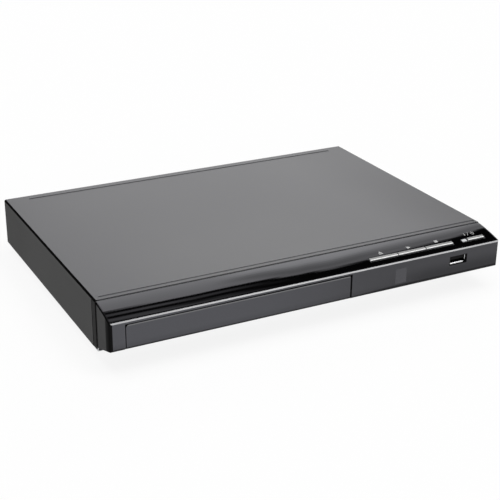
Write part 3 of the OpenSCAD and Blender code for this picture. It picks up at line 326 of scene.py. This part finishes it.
# The wall's top sinks slowly to the right and then fast, with one sag and one softer swell.
sag = room.band(right_way, 0.37, 0.41, 0.43, 0.46)
swell = room.band(right_way, 0.462, 0.488, 0.572, 0.60)
wall_top = (0.792 - right_way * 0.14).least(1.174 - right_way * 0.97)
above_top = up_way - (wall_top - sag * 0.012 + swell * 0.021)
softness = 0.004 + swell * 0.007

# The wall glows evenly and fades a little towards its top, where it is dimmer still on the right.
wall = room.fall(above_top, 0.0 - softness, softness)
wall = wall * (1.0 - room.step(above_top, -0.16, 0.0) * 0.25)
wall = wall * (1.0 - room.step(above_top, -0.055, -0.025) * room.step(right_way, 0.40, 0.46) * 0.28)

# A pale streak and a dark one above it, both on the right and weaker further on.
pale_streak = room.band(above_top, -0.24, -0.18, -0.10, -0.07) * 0.22
dark_streak = room.band(above_top, -0.085, -0.05, -0.045, -0.005) * 0.33
streaked = room.step(right_way, 0.385, 0.425) * (1.0 - room.step(right_way, 0.50, 0.54) * 0.4)
wall = wall * (1.0 + streaked * (pale_streak - dark_streak))

# The dark corner, and the light that leaks through the ceiling.
dark_corner = room.step(rear_way, -0.1, 0.1) * room.fall(right_way, 0.12, 0.26) * 0.96
leaks = room.band(above_top, 0.018, 0.030, 0.032, 0.044)
leaks = leaks + room.band(above_top, 0.052, 0.068, 0.074, 0.090)
leaks = leaks * room.fall(right_way, 0.33, 0.47) * 0.27
darkest, brightest = 0.004, 1.25
light = (wall * (1.0 - dark_corner) + leaks) / brightest
sky_colour = room.mix(solid_colour(darkest), solid_colour(brightest), light.held())
glow = room.node("ShaderNodeBackground", {}, {"Color": sky_colour, "Strength": 1.0})
room.node("ShaderNodeOutputWorld", {}, {"Surface": glow.outputs[0]})
print("sky nodes", len(room.nodes))

# %% [markdown]
# ## Two soft lamps
# The wall lights the player evenly and would leave it without a shadow. A wide lamp overhead
# draws the soft shadow under it, and a smaller one in front on the right brightens the key
# strip's front edge. Area lamps could do both, but their light would fade over the wide floor,
# so both are suns, which light it alike everywhere.

# %% Lamps
def sun(name, turn_degrees, rise_degrees, strength, width_degrees):
    """A soft lamp, far away in the direction given by a turn to the right and a rise."""
    data = bpy.data.lights.new(name, "SUN")
    data.energy, data.angle = strength, math.radians(width_degrees)
    made = bpy.data.objects.new(name, data)
    a, e = math.radians(turn_degrees), math.radians(rise_degrees)
    towards = Vector((math.sin(a) * math.cos(e), -math.cos(a) * math.cos(e), math.sin(e)))
    made.rotation_mode = "QUATERNION"
    made.rotation_quaternion = towards.to_track_quat("Z", "Y")
    bpy.context.collection.objects.link(made)
    print(name, "strength", strength, "width", width_degrees)


sun("overhead_lamp", turn_degrees=0.0, rise_degrees=88.0, strength=1.75, width_degrees=50.0)
sun("front_lamp", turn_degrees=47.0, rise_degrees=54.0, strength=0.6, width_degrees=24.0)
bpy.context.scene.view_settings.view_transform = "Standard"

# %% [markdown]
# ## Dressing the frame's pieces
# Each solid of the frame comes with a plain material in a slot. A finish could be appended to the
# mesh, but its faces would still use the first slot, so the slots are refilled instead. Many
# finishes change with the place on the piece, and box_mm tells where a piece begins and ends.

# %% Dress and measure
def dress(material, *names):
    """Gives a material to frame nodes by name."""
    for name in names:
        for slot in nodes[name].material_slots:
            slot.material = material
    print(material.name, "on", ", ".join(names))


def box_mm(name):
    """The lowest and the highest corner of a frame node, in millimetres."""
    return [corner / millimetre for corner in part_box(name)]


print("the cover lies between", *box_mm("top_cover"))

# %% [markdown]
# ## The cover's paint
# The cover is sheet steel, coated with satin black paint before it is folded. A plain dark
# colour looks like paper, because real paint has a fine grain that scatters the reflection and
# faint clouds where it lay thicker. Grain goes into a bump and clouds into the colour and the
# roughness. Light and shade are painted on as well: a paler painted sheen on the front of the
# top, painted shade that darkens the sides and the right end of the top, and thin lines of painted
# shade along the folds, which are found by the way the surface faces.

# %% Cover
def satin_black_paint():
    cover_low, cover_high = box_mm("top_cover")
    paint = Finish("satin_black_paint")
    right_way, rear_way, up_way = paint.facing()
    x, y, _ = paint.xyz()
    grain = paint.noise(0.35)
    clouds = paint.noise(45.0, detail=3.0)
    top = paint.step(up_way, 0.9, 0.99)
    side = paint.step(right_way * right_way, 0.9, 0.99)
    # Painted sheen: the top is painted paler towards its front and around the middle, where it mirrors more
    # light.
    painted_front_sheen = paint.fall(y, -75.0, 40.0) * paint.fall(x, 5.0, 90.0) * paint.step(x, -130.0, -50.0)
    body = paint.mix(solid_colour(0.058, 0.058, 0.065), solid_colour(0.066, 0.066, 0.073), clouds)
    body = paint.mix(body, solid_colour(0.081, 0.081, 0.086), painted_front_sheen)
    # Painted shade: the sides are the same paint as the top but are painted much darker, since they catch
    # less light.
    colour = paint.mix(body, solid_colour(0.009, 0.009, 0.0085), side)
    roughness = 0.34 + clouds * 0.05 + grain * 0.05 + side * 0.26
    paint.set(Base_Color=colour, Roughness=roughness, Coat_Weight=top * 0.55, Coat_Roughness=0.35,
              Coat_IOR=1.6, Normal=paint.bump(grain, 0.006))

    # Painted shade, mixed in as a near-black shader: thin lines on the folds and the front edges of the
    # sides, shade on the sides that is more to the rear and most at their front ends, and shade on the top
    # towards its right end.
    fold_shade = (right_way * right_way < 0.97) * up_way.within(0.1, 0.995) * (rear_way * rear_way < 0.3)
    hem_shade = (rear_way < -0.9) * (x * x > (cover_high.x - 1.5) ** 2)
    side_front = y < cover_low.y + 4.15
    side_shade = side * (0.05 + paint.step(y, 0.0, 95.0) * 0.09 + side_front * 0.5)
    right_end_shade = top * paint.step(x, 70.0, 138.0) * (0.22 - paint.step(y, -70.0, 80.0) * 0.13)
    paint.finish_with(paint.painted_shade(0.4), fold_shade.most(hem_shade).most(side_shade).most(right_end_shade))
    return paint.material


dress(satin_black_paint(), "top_cover", "rear_panel")

# %% [markdown]
# ## Gaps in the front
# The door fills a slot in the front and the socket a hole. Their narrow walls would catch the
# bright room and turn a thin black line grey. Filling them with black plates would hide the real
# shape, so they get painted shade instead: this mask is 1 on the walls and edges of the gaps and on
# a thin painted shadow line round the door. Each place is worked out from the door, the socket or
# the moulding.

# %% Gaps of the front
def front_gaps(plastic):
    door_low, door_high = box_mm("tray_door")
    hole_low, hole_high = box_mm("front_socket_shell")
    half_width = box_mm("front_bezel")[1].x
    x, _, z = plastic.xyz()
    right_way, rear_way, up_way = plastic.facing()
    door_edge = z.within(door_high.z - 0.5, door_high.z + 0.05) * (x < door_high.x + 1.0) * (up_way > 0.7)
    hole_wall = x.within(hole_low.x - 0.9, hole_high.x + 1.0) * (rear_way > -0.5)
    hole_wall = hole_wall * z.within(hole_low.z - 0.8, hole_high.z + 0.8)
    end_wall = (rear_way > 0.9) * (x * x > (half_width - 3.4) ** 2)
    slot_wall = (right_way * right_way > 0.9) * x.within(door_low.x - 1.8, door_high.x + 2.0)
    # A thin painted shadow line on the face over the door and beside its right end, fainter on the left.
    over_door = x.within(door_low.x - 0.5, door_high.x + 0.9)
    over_door = over_door * z.within(door_high.z + 0.45, door_high.z + 0.78)
    beside_door = x.within(door_high.x - 0.65, door_high.x + 0.6)
    beside_door = beside_door * z.within(door_low.z - 0.6, door_high.z + 0.7)
    outline = over_door.most(beside_door) * (rear_way < -0.7)
    outline = outline * (0.35 + plastic.step(x, -100.0, -20.0) * 0.6)
    return door_edge.most(hole_wall).most(end_wall).most(slot_wall).most(outline)


print("gaps round the door", *box_mm("tray_door"), "and the hole", *box_mm("front_socket_shell"))

# %% [markdown]
# ## Shade on the front
# The smooth bands at both ends mirror a dark corner of the room, and the foot of the face lies in
# its own shade on the paper. Lamps could do this, but they would change the whole player with it.
# So the shade is a second mask, which counts in millimetres from the door's front and foot.

# %% Shade of the front
def front_shade(plastic):
    door_low, _ = box_mm("tray_door")
    front, foot = door_low.y, door_low.z
    x, y, z = plastic.xyz()
    right_way, rear_way, _ = plastic.facing()
    side = right_way * right_way
    end_band = (side > 0.1) * (rear_way < 0.1) * plastic.fall(y, front + 6.95, front + 9.35)
    end_band = end_band * (0.95 - plastic.step(y, front + 2.05, front + 8.05) * 0.2)
    cheek_shade = (side > 0.8) * (0.08 + (y > front + 21.15) * 0.5)
    height = z - plastic.step(x, 20.0, 60.0) * 0.9
    low_edge = plastic.fall(height, foot + 0.7, foot + 2.3) * (rear_way < -0.2) * 0.75
    low_right = plastic.fall(z, foot + 3.4, foot + 13.4) * plastic.step(x, 40.0, 85.0) * 0.38
    low_face = plastic.fall(z, foot + 1.9, foot + 5.4) * 0.13
    return end_band.most(cheek_shade).most(low_edge).most(low_right).most(low_face)


print("shade from the door's front and foot at", *box_mm("tray_door")[0].yz)

# %% [markdown]
# ## The front moulding
# The front is charcoal plastic from a mould with a fine satin texture, and the door is cut from
# the same face. Light and shade are painted on it: the bevel above the door carries a painted
# highlight, a bright line, the door's upper rim a paler painted highlight, and the face is painted
# darker towards the right and on the cheeks as painted shade. These could be separate trims, but
# they are one moulding, so the finish changes with the direction and place of the surface, and the
# two masks above add more painted shade. The frame knows only whole pieces, so the height where
# the face ends and its bevel there are written down.

# %% Front face and door
face_top, face_bevel = 33.5, 0.8


def charcoal_moulding():
    door_low, door_high = box_mm("tray_door")
    bevel_foot = face_top - face_bevel
    plastic = Finish("charcoal_moulding")
    x, _, z = plastic.xyz()
    right_way, rear_way, up_way = plastic.facing()
    texture = plastic.noise(0.22)
    clouds = plastic.noise(30.0)
    # Painted shade: the cheeks at both ends are painted almost black.
    cheek_shade = plastic.step(right_way * right_way, 0.8, 0.95)
    # Painted highlight: the top bevel of the face is painted as a bright silver-grey line, a little fainter
    # on the left.
    bevel_highlight = (up_way > 0.3) * (rear_way < -0.3) * plastic.step(z, bevel_foot - 0.05, bevel_foot + 0.15)
    bevel_highlight = bevel_highlight * (0.8 + plastic.step(x, -125.0, -40.0) * 0.2)
    # Painted highlight: the door's upper rim is painted paler, where its edge catches the light.
    door_rim_highlight = z.within(door_high.z - 0.7, door_high.z + 0.02) * (rear_way < -0.9)
    door_rim_highlight = door_rim_highlight * x.within(door_low.x - 0.1, door_high.x - 0.3)
    face = plastic.mix(solid_colour(0.044, 0.0445, 0.053), solid_colour(0.050, 0.0505, 0.060), clouds)
    # Painted shade: the face is painted darker from the middle towards the right.
    face = plastic.mix(face, solid_colour(0.020, 0.020, 0.025), plastic.step(x, -50.0, 60.0))
    face = plastic.mix(face, solid_colour(0.12, 0.12, 0.124), door_rim_highlight)
    face = plastic.mix(face, solid_colour(0.008), cheek_shade)
    colour = plastic.mix(face, solid_colour(0.38, 0.38, 0.39), bevel_highlight)
    roughness = 0.42 + texture * 0.08 - bevel_highlight * 0.2 + cheek_shade * 0.2
    plastic.set(Base_Color=colour, Roughness=roughness,
                Normal=plastic.bump(texture, 0.005, plastic.soft_edge(0.25)))
    plastic.finish_with(plastic.painted_shade(0.15), front_gaps(plastic).most(front_shade(plastic)))
    return plastic.material


dress(charcoal_moulding(), "front_bezel", "tray_door")

# %% [markdown]
# ## The glossy strip
# The sloping strip is piano black: a clear, hard, very smooth plastic. Its beauty is the sharp
# reflection, so the roughness stays near zero, with only hairlines from wiping and a slow wave
# in the surface, which bends the reflected line a little as a real moulding does. The solid's
# curve is made of flat facets, and a wide soft edge rounds them into one. The narrow rim along
# the seam is painted paler as a painted highlight, and the lip in front and the strip's steep
# faces are painted near black as painted shade.

# %% Key strip
def piano_black():
    strip_low, strip_high = box_mm("top_strip")
    gloss = Finish("piano_black")
    hairlines = gloss.noise(0.6, detail=3.0, stretch=(0.05, 1.0, 1.0))
    wave = gloss.noise(55.0, detail=1.0)
    _, _, up_way = gloss.facing()
    _, y, _ = gloss.xyz()
    # Painted highlight: a pale line along the rear edge at the seam.
    rear_rim_highlight = gloss.step(y, strip_high.y - 0.75, strip_high.y - 0.35)
    # Painted shade: the front lip and the strip's steeper faces are mixed to near black.
    front_lip_shade = gloss.fall(y, strip_low.y + 0.7, strip_low.y + 1.1)
    colour = gloss.mix(solid_colour(0.0006), solid_colour(0.001, 0.001, 0.0012), hairlines)
    colour = gloss.mix(colour, solid_colour(0.06), rear_rim_highlight)
    gloss.set(Base_Color=colour, Roughness=0.02 + hairlines * 0.02, IOR=2.15,
              Specular_Tint=solid_colour(0.93, 0.93, 1.0),
              Normal=gloss.bump(wave, 0.035, gloss.soft_edge(1.2)))
    gloss.finish_with(gloss.painted_shade(0.2), (up_way < 0.6).most(front_lip_shade))
    return gloss.material


dress(piano_black(), "top_strip")

# %% [markdown]
# ## Keys, light and window
# The keys are lacquered silver: metal flakes in a clear coat. A mirror metal would be too hard,
# so the flakes are small cells that vary the roughness and colour. The front rim is painted
# white as a painted highlight, and the skirt below it is mixed to near black as painted shade.
# The standby light is a frosted rod, and the window is smoked plastic that only the remote
# control's light can pass.

# %% Keys
def silver_lacquer():
    key_low, key_high = box_mm("play_key")
    lacquer = Finish("silver_lacquer")
    flakes = lacquer.cells(0.12)
    _, rear_way, _ = lacquer.facing()
    _, y, z = lacquer.xyz()
    # Painted shade: the lower part of each key's front face is mixed to near black.
    skirt_shade = (rear_way < -0.7) * lacquer.fall(z, key_high.z - 0.944, key_high.z - 0.714)
    # Painted highlight: the front rim is painted white, and made less metallic and smoother there.
    rim = lacquer.fall(y, key_low.y + 1.35, key_low.y + 1.6)
    silver = lacquer.mix(solid_colour(0.33), solid_colour(0.39), flakes)
    lacquer.finish_with(lacquer.painted_shade(0.3), skirt_shade * 0.9)
    return lacquer.set(Base_Color=lacquer.mix(silver, solid_colour(1.0), rim), Metallic=0.3 - rim * 0.3,
                       Roughness=0.3 + flakes * 0.1 - rim * 0.1, Specular_IOR_Level=1.0,
                       Normal=lacquer.bump(flakes, 0.004, lacquer.soft_edge(0.3)))


def frosted_light():
    frost = Finish("frosted_light")
    haze = frost.noise(0.3)
    return frost.set(Base_Color=frost.mix(solid_colour(0.50, 0.52, 0.54), solid_colour(0.75), haze),
                     Roughness=0.35 + haze * 0.1, Normal=frost.bump(haze, 0.01, frost.soft_edge(0.2)))


def smoked_window():
    smoke = Finish("smoked_window")
    haze = smoke.noise(4.0)
    tint = smoke.mix(solid_colour(0.034, 0.034, 0.041), solid_colour(0.043, 0.043, 0.050), haze)
    return smoke.set(Base_Color=tint, Roughness=0.18 + haze * 0.06, Normal=smoke.soft_edge(0.1))


dress(silver_lacquer(), "open_close_key", "play_key", "stop_key", "power_key")
dress(frosted_light(), "standby_light")
dress(smoked_window(), "receiver_window")

# %% [markdown]
# ## Sheet metal, plating and castings
# Zinc plated sheet has a brushed direction and faint crystals. Plated sockets are brighter and
# smoother, and the cast sled is duller. All are metals, so their colour is what they reflect. One
# recipe serves every metal piece: two greys, a roughness, a size for the crystals and a stretch
# for the brushed lines.

# %% Metals
def metal(name, dark, light, roughness, crystal, stretch):
    made = Finish(name)
    lines = made.noise(0.4, stretch=stretch)
    crystals = made.cells(crystal)
    edge = made.worn_edge(0.2, 1.5)
    body = made.mix(solid_colour(*dark), solid_colour(*light), crystals)
    return made.set(Base_Color=made.mix(body, solid_colour(0.8), edge), Metallic=1.0,
                    Roughness=roughness + lines * 0.12,
                    Normal=made.bump(lines, 0.004, made.soft_edge(0.15)))


zinc = metal("zinc_plated_sheet", (0.47, 0.48, 0.49), (0.58, 0.59, 0.60), 0.32, 6.0, (0.06, 1.0, 1.0))
plated = metal("bright_plating", (0.62, 0.62, 0.63), (0.75, 0.76, 0.77), 0.16, 2.0, (1.0, 0.08, 1.0))
cast = metal("die_cast_metal", (0.26, 0.26, 0.27), (0.36, 0.36, 0.37), 0.42, 1.2, (1.0, 1.0, 1.0))
drawn = metal("drawn_aluminium", (0.5, 0.51, 0.52), (0.64, 0.65, 0.66), 0.3, 3.0, (1.0, 1.0, 0.06))
dress(zinc, "bottom_chassis", "clamp_bridge", "inner_screws")
dress(plated, "picture_socket_shell", "jack_barrels", "inlet_pins", "loading_motor", "spindle_motor",
      "guide_rods", "feed_motor")
dress(cast, "pickup_sled")
dress(drawn, "heat_sink")

# %% [markdown]
# ## Inside the front socket
# The socket's metal shell lies deep in the front, where no light reaches its walls. Plating there
# would mirror the bright room and look like a lamp. So the shell and the tongue in it are dressed
# as the dark that one sees, and the shine is left to the lips at the mouth, which come later.

# %% Socket shade
def socket_shade():
    shade = Finish("socket_shade")
    haze = shade.noise(0.6)
    return shade.set(Base_Color=shade.mix(solid_colour(0.003), solid_colour(0.006), haze),
                     Roughness=0.5 + haze * 0.1, Specular_IOR_Level=0.08)


dress(socket_shade(), "front_socket_shell", "front_socket_tongue")

# %% [markdown]
# ## Moulded plastics
# Tray, loader, jacks and gears are moulded without paint. They differ in colour, gloss and the
# size of the mould's texture, and all are a little paler on their edges, where they rub. Again
# one recipe does: two colours, a roughness, the texture's size and its depth.

# %% Plastics and rubber
def moulded(name, dark, light, roughness, texture_size, depth):
    made = Finish(name)
    texture = made.noise(texture_size)
    flow = made.noise(18.0)
    edge = made.worn_edge(0.2, 1.2)
    pale = solid_colour(*light)
    rubbed = tuple(min(1.0, v * 1.5 + 0.02) for v in pale[:3]) + (1.0,)
    body = made.mix(solid_colour(*dark), pale, flow)
    return made.set(Base_Color=made.mix(body, rubbed, edge * 0.5), Roughness=roughness + texture * 0.1,
                    Normal=made.bump(texture, depth, made.soft_edge(0.15)))


dress(moulded("black_moulding", (0.016,), (0.024,), 0.42, 0.3, 0.006), "loader_frame", "jack_block",
      "mains_inlet", "remote_receiver", "key_switches", "picture_socket_tongue", "traverse_frame")
dress(moulded("tray_black", (0.020,), (0.030,), 0.36, 0.5, 0.008), "disc_tray", "turntable")
dress(moulded("cream_acetal", (0.62, 0.59, 0.5), (0.72, 0.69, 0.6), 0.38, 0.8, 0.004), "disc_clamper",
      "tray_drive_gear", "belt_gear", "motor_pulley", "cam_slider", "feed_pinion", "feed_gear")
ring_colours = {"video_jack": (0.72, 0.52, 0.02), "left_audio_jack": (0.75, 0.75, 0.72),
                "right_audio_jack": (0.55, 0.02, 0.02), "digital_audio_jack": (0.72, 0.2, 0.01)}
for ring, colour in ring_colours.items():
    darker = [value * 0.85 for value in colour]
    dress(moulded(ring + "_plastic", darker, colour, 0.3, 0.4, 0.003), ring)
dress(moulded("black_rubber", (0.018,), (0.028,), 0.75, 0.6, 0.02), "feet", "drive_belt", "pivot_bushes")
dress(moulded("flat_cable", (0.66, 0.66, 0.64), (0.76, 0.76, 0.73), 0.4, 1.0, 0.01),
      "front_ribbon", "pickup_ribbon", "power_cable")
dress(moulded("black_screw", (0.012,), (0.02,), 0.3, 0.2, 0.004), "cover_screws")

# %% [markdown]
# ## Boards and their parts
# A circuit board is a green or tan sheet under a clear mask, with copper tracks that show as
# paler bands. Drawing every track would be slow and never seen in full, so the tracks are bands
# cut from stretched noise, and the chips and cans are dressed as what they are made of.

# %% Boards
def circuit_board(name, mask_colour, track_colour):
    board = Finish(name)
    along = board.noise(3.0, detail=0.0, stretch=(1.0, 0.12, 1.0))
    across_board = board.noise(3.0, detail=0.0, stretch=(0.12, 1.0, 1.0))
    tracks = along.within(0.52, 0.56).most(across_board.within(0.53, 0.57))
    grain = board.noise(0.4)
    colour = board.mix(solid_colour(*mask_colour), solid_colour(*track_colour), tracks)
    return board.set(Base_Color=colour, Roughness=0.3 + grain * 0.1,
                     Normal=board.bump(tracks, 0.03, board.soft_edge(0.1)))


dress(circuit_board("green_solder_mask", (0.012, 0.085, 0.035), (0.03, 0.17, 0.07)),
      "front_board", "main_board")
dress(circuit_board("tan_paper_board", (0.42, 0.28, 0.12), (0.5, 0.36, 0.18)), "power_board")
dress(moulded("chip_epoxy", (0.012,), (0.018,), 0.5, 0.15, 0.004), "main_chips")
dress(moulded("capacitor_sleeve", (0.02, 0.02, 0.06), (0.035, 0.035, 0.09), 0.25, 1.5, 0.004),
      "board_capacitors", "power_components")
dress(moulded("winding_tape", (0.6, 0.45, 0.06), (0.7, 0.55, 0.1), 0.35, 2.0, 0.03), "transformer")
dress(moulded("coated_lens", (0.12, 0.16, 0.35), (0.2, 0.28, 0.5), 0.05, 3.0, 0.001), "pickup_lens")

# %% [markdown]
# ## The front socket's lips
# The plated shell of a serial socket ends in small flared lips that guide the plug in. They are
# what shines in the dark opening, because they curve towards the light. A bevel on the shell would
# do it, but the solid stays as it is, so each lip is a thin curved sheet: an arc drawn in section
# and pulled along the edge that it follows.

# %% A flared lip
lip_thickness = 0.15


def flared_lip(name, section, ends, upright):
    """A thin sheet of a section, in millimetres, pulled from one end to the other.

    A lying lip has its section in y and z and is pulled along x, an upright one has its section
    in y and x and is pulled along z.
    """
    sheet = bmesh.new()
    rows = []
    for shift in (0.0, lip_thickness):
        for end in ends:
            row = []
            for y, other in section:
                point = (other + shift, y, end) if upright else (end, y, other - shift)
                row.append(sheet.verts.new(Vector(point) * millimetre))
            rows.append(row)
    top_a, top_b, low_a, low_b = rows
    for i in range(len(section) - 1):
        sheet.faces.new((top_a[i], top_b[i], top_b[i + 1], top_a[i + 1]))
        sheet.faces.new((low_a[i + 1], low_b[i + 1], low_b[i], low_a[i]))
        sheet.faces.new((top_a[i + 1], low_a[i + 1], low_a[i], top_a[i]))
        sheet.faces.new((top_b[i], low_b[i], low_b[i + 1], top_b[i + 1]))
    for i in (0, -1):
        sheet.faces.new((top_a[i], low_a[i], low_b[i], top_b[i]))
    bmesh.ops.recalc_face_normals(sheet, faces=sheet.faces)
    made = mesh_object(name, sheet)
    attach(made, "case")
    made.data.materials.append(plated)
    print(name, "with", len(made.data.polygons), "faces")


print("a lip is", lip_thickness, "mm thick")

# %% [markdown]
# ## Two lips in the mouth
# The lower and the right lip are the ones that catch the light from where the player is seen.
# Each could have its own list of points, but both follow a quarter of a circle from the mouth
# inwards. So one curve serves both: the lower lip rises along it and the right one leans left.

# %% Socket lips
lip_depth, lip_inset = 1.1, 0.5
socket_low, socket_high = box_mm("front_socket_shell")
mouth = socket_low.y + 0.1
quarter_turn = [math.radians(angle) for angle in range(0, 91, 15)]
curve = [(mouth + lip_depth * (1 - math.cos(a)), math.sin(a)) for a in quarter_turn]
bottom_lip = [(y, socket_low.z + lip_inset + 0.9 * lift) for y, lift in curve]
right_lip = [(y + 1.0, socket_high.x - lip_inset - 0.35 * lift) for y, lift in curve]
flared_lip("socket_bottom_lip", bottom_lip, (socket_low.x + 0.6, socket_high.x - 2.6), upright=False)
flared_lip("socket_right_lip", right_lip, (socket_low.z + 1.6, socket_high.z - 0.6), upright=True)
print("socket lips inside", [round(v, 2) for v in (*socket_low, *socket_high)])

# %% [markdown]
# ## The strip's curve
# The symbols lie on the glossy strip, which is curved from front to rear. They could be pressed
# onto its facets with a modifier, but the curve is a plain one: the arc of a circle through the
# strip's front and rear edges. So the height at any place comes from a sum.

# %% Height of the strip
strip_low, strip_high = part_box("top_strip")
crown_radius = 128.0 * millimetre
seam_gap = 0.05 * millimetre
symbol_line = -92.0
front_edge = Vector((strip_low.y - seam_gap, face_top * millimetre))
rear_edge = Vector((strip_high.y, strip_high.z))
chord = front_edge - rear_edge
sink = math.sqrt(crown_radius ** 2 - chord.length_squared / 4)
centre = (front_edge + rear_edge) / 2 + sink * Vector((-chord.y, chord.x)) / chord.length


def strip_height(y):
    return centre.y + math.sqrt(crown_radius ** 2 - (y - centre.x) ** 2)


print("strip", strip_low, strip_high)
print("height at the symbols", round(strip_height(symbol_line * millimetre), 5))

# %% [markdown]
# ## Ink on the strip
# The symbols are printed in a pale ink. A printed image would need a picture file, and a mask in
# the strip's own material would be no shape by itself. So each outline becomes a thin sheet of
# ink, sunk a little into the strip, whose upper side stands just clear of the strip's facets.

# %% Ink
ink_above, ink_depth = 0.03 * millimetre, 0.1 * millimetre
ink = moulded("white_ink", (0.42,), (0.5,), 0.5, 0.2, 0.003)


def printed(name, outlines):
    """Thin flat shapes, given as lists of points in millimetres, laid on the strip."""
    sheet = bmesh.new()
    for outline in outlines:
        top = []
        for x, y in outline:
            height = strip_height(y * millimetre) + ink_above
            top.append(sheet.verts.new((x * millimetre, y * millimetre, height)))
        under = [sheet.verts.new(v.co - Vector((0, 0, ink_depth))) for v in top]
        sheet.faces.new(top)
        sheet.faces.new(reversed(under))
        for i in range(len(top)):
            j = (i + 1) % len(top)
            sheet.faces.new((top[i], under[i], under[j], top[j]))
    bmesh.ops.recalc_face_normals(sheet, faces=sheet.faces)
    made = mesh_object(name, sheet)
    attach(made, "case")
    made.data.materials.append(ink)
    print(name, "outlines", len(outlines))


print(ink.name, "above the strip by", ink_above)

# %% [markdown]
# ## Printed symbols
# Behind each key stands the symbol that says what it does: a triangle over a bar to open, a
# triangle to play, a square to stop, and a bar, a stroke and the usual broken ring for power.
# Each is drawn as outlines measured from the middle of its key, so it stays with its key.

# %% Symbols
def ring_piece(x, y, outer, inner, start, stop, steps=16):
    """A curved band round a centre, from one angle to another."""
    angles = [math.radians(start + (stop - start) * i / steps) for i in range(steps + 1)]
    rim = [(x + outer * math.cos(a), y + outer * math.sin(a)) for a in angles]
    return rim + [(x + inner * math.cos(a), y + inner * math.sin(a)) for a in reversed(angles)]


def bar(x0, x1, y0, y1):
    return [(x0, y0), (x1, y0), (x1, y1), (x0, y1)]


symbols = {
    "open_close": [[(-1.0, 0.0), (1.9, 0.0), (0.45, 1.7)], bar(-1.0, 1.9, -1.1, -0.45)],
    "play": [[(-0.9, -1.5), (1.9, -0.16), (-0.9, 1.2)]],
    "stop": [bar(-0.6, 1.8, -1.0, 1.2)],
    "power": [bar(-5.05, -4.6, -0.2, 2.1), [(-3.15, -0.4), (-2.75, -0.4), (-1.45, 2.3), (-1.85, 2.3)],
              ring_piece(1.25, 0.8, 1.35, 0.95, -240, 60), bar(1.05, 1.45, 0.9, 2.4)],
}
for key, outlines in symbols.items():
    key_low, key_high = box_mm(key + "_key")
    middle = (key_low.x + key_high.x) / 2
    placed = [[(middle + x, symbol_line + y) for x, y in outline] for outline in outlines]
    printed(key + "_symbol", placed)

# %% [markdown]
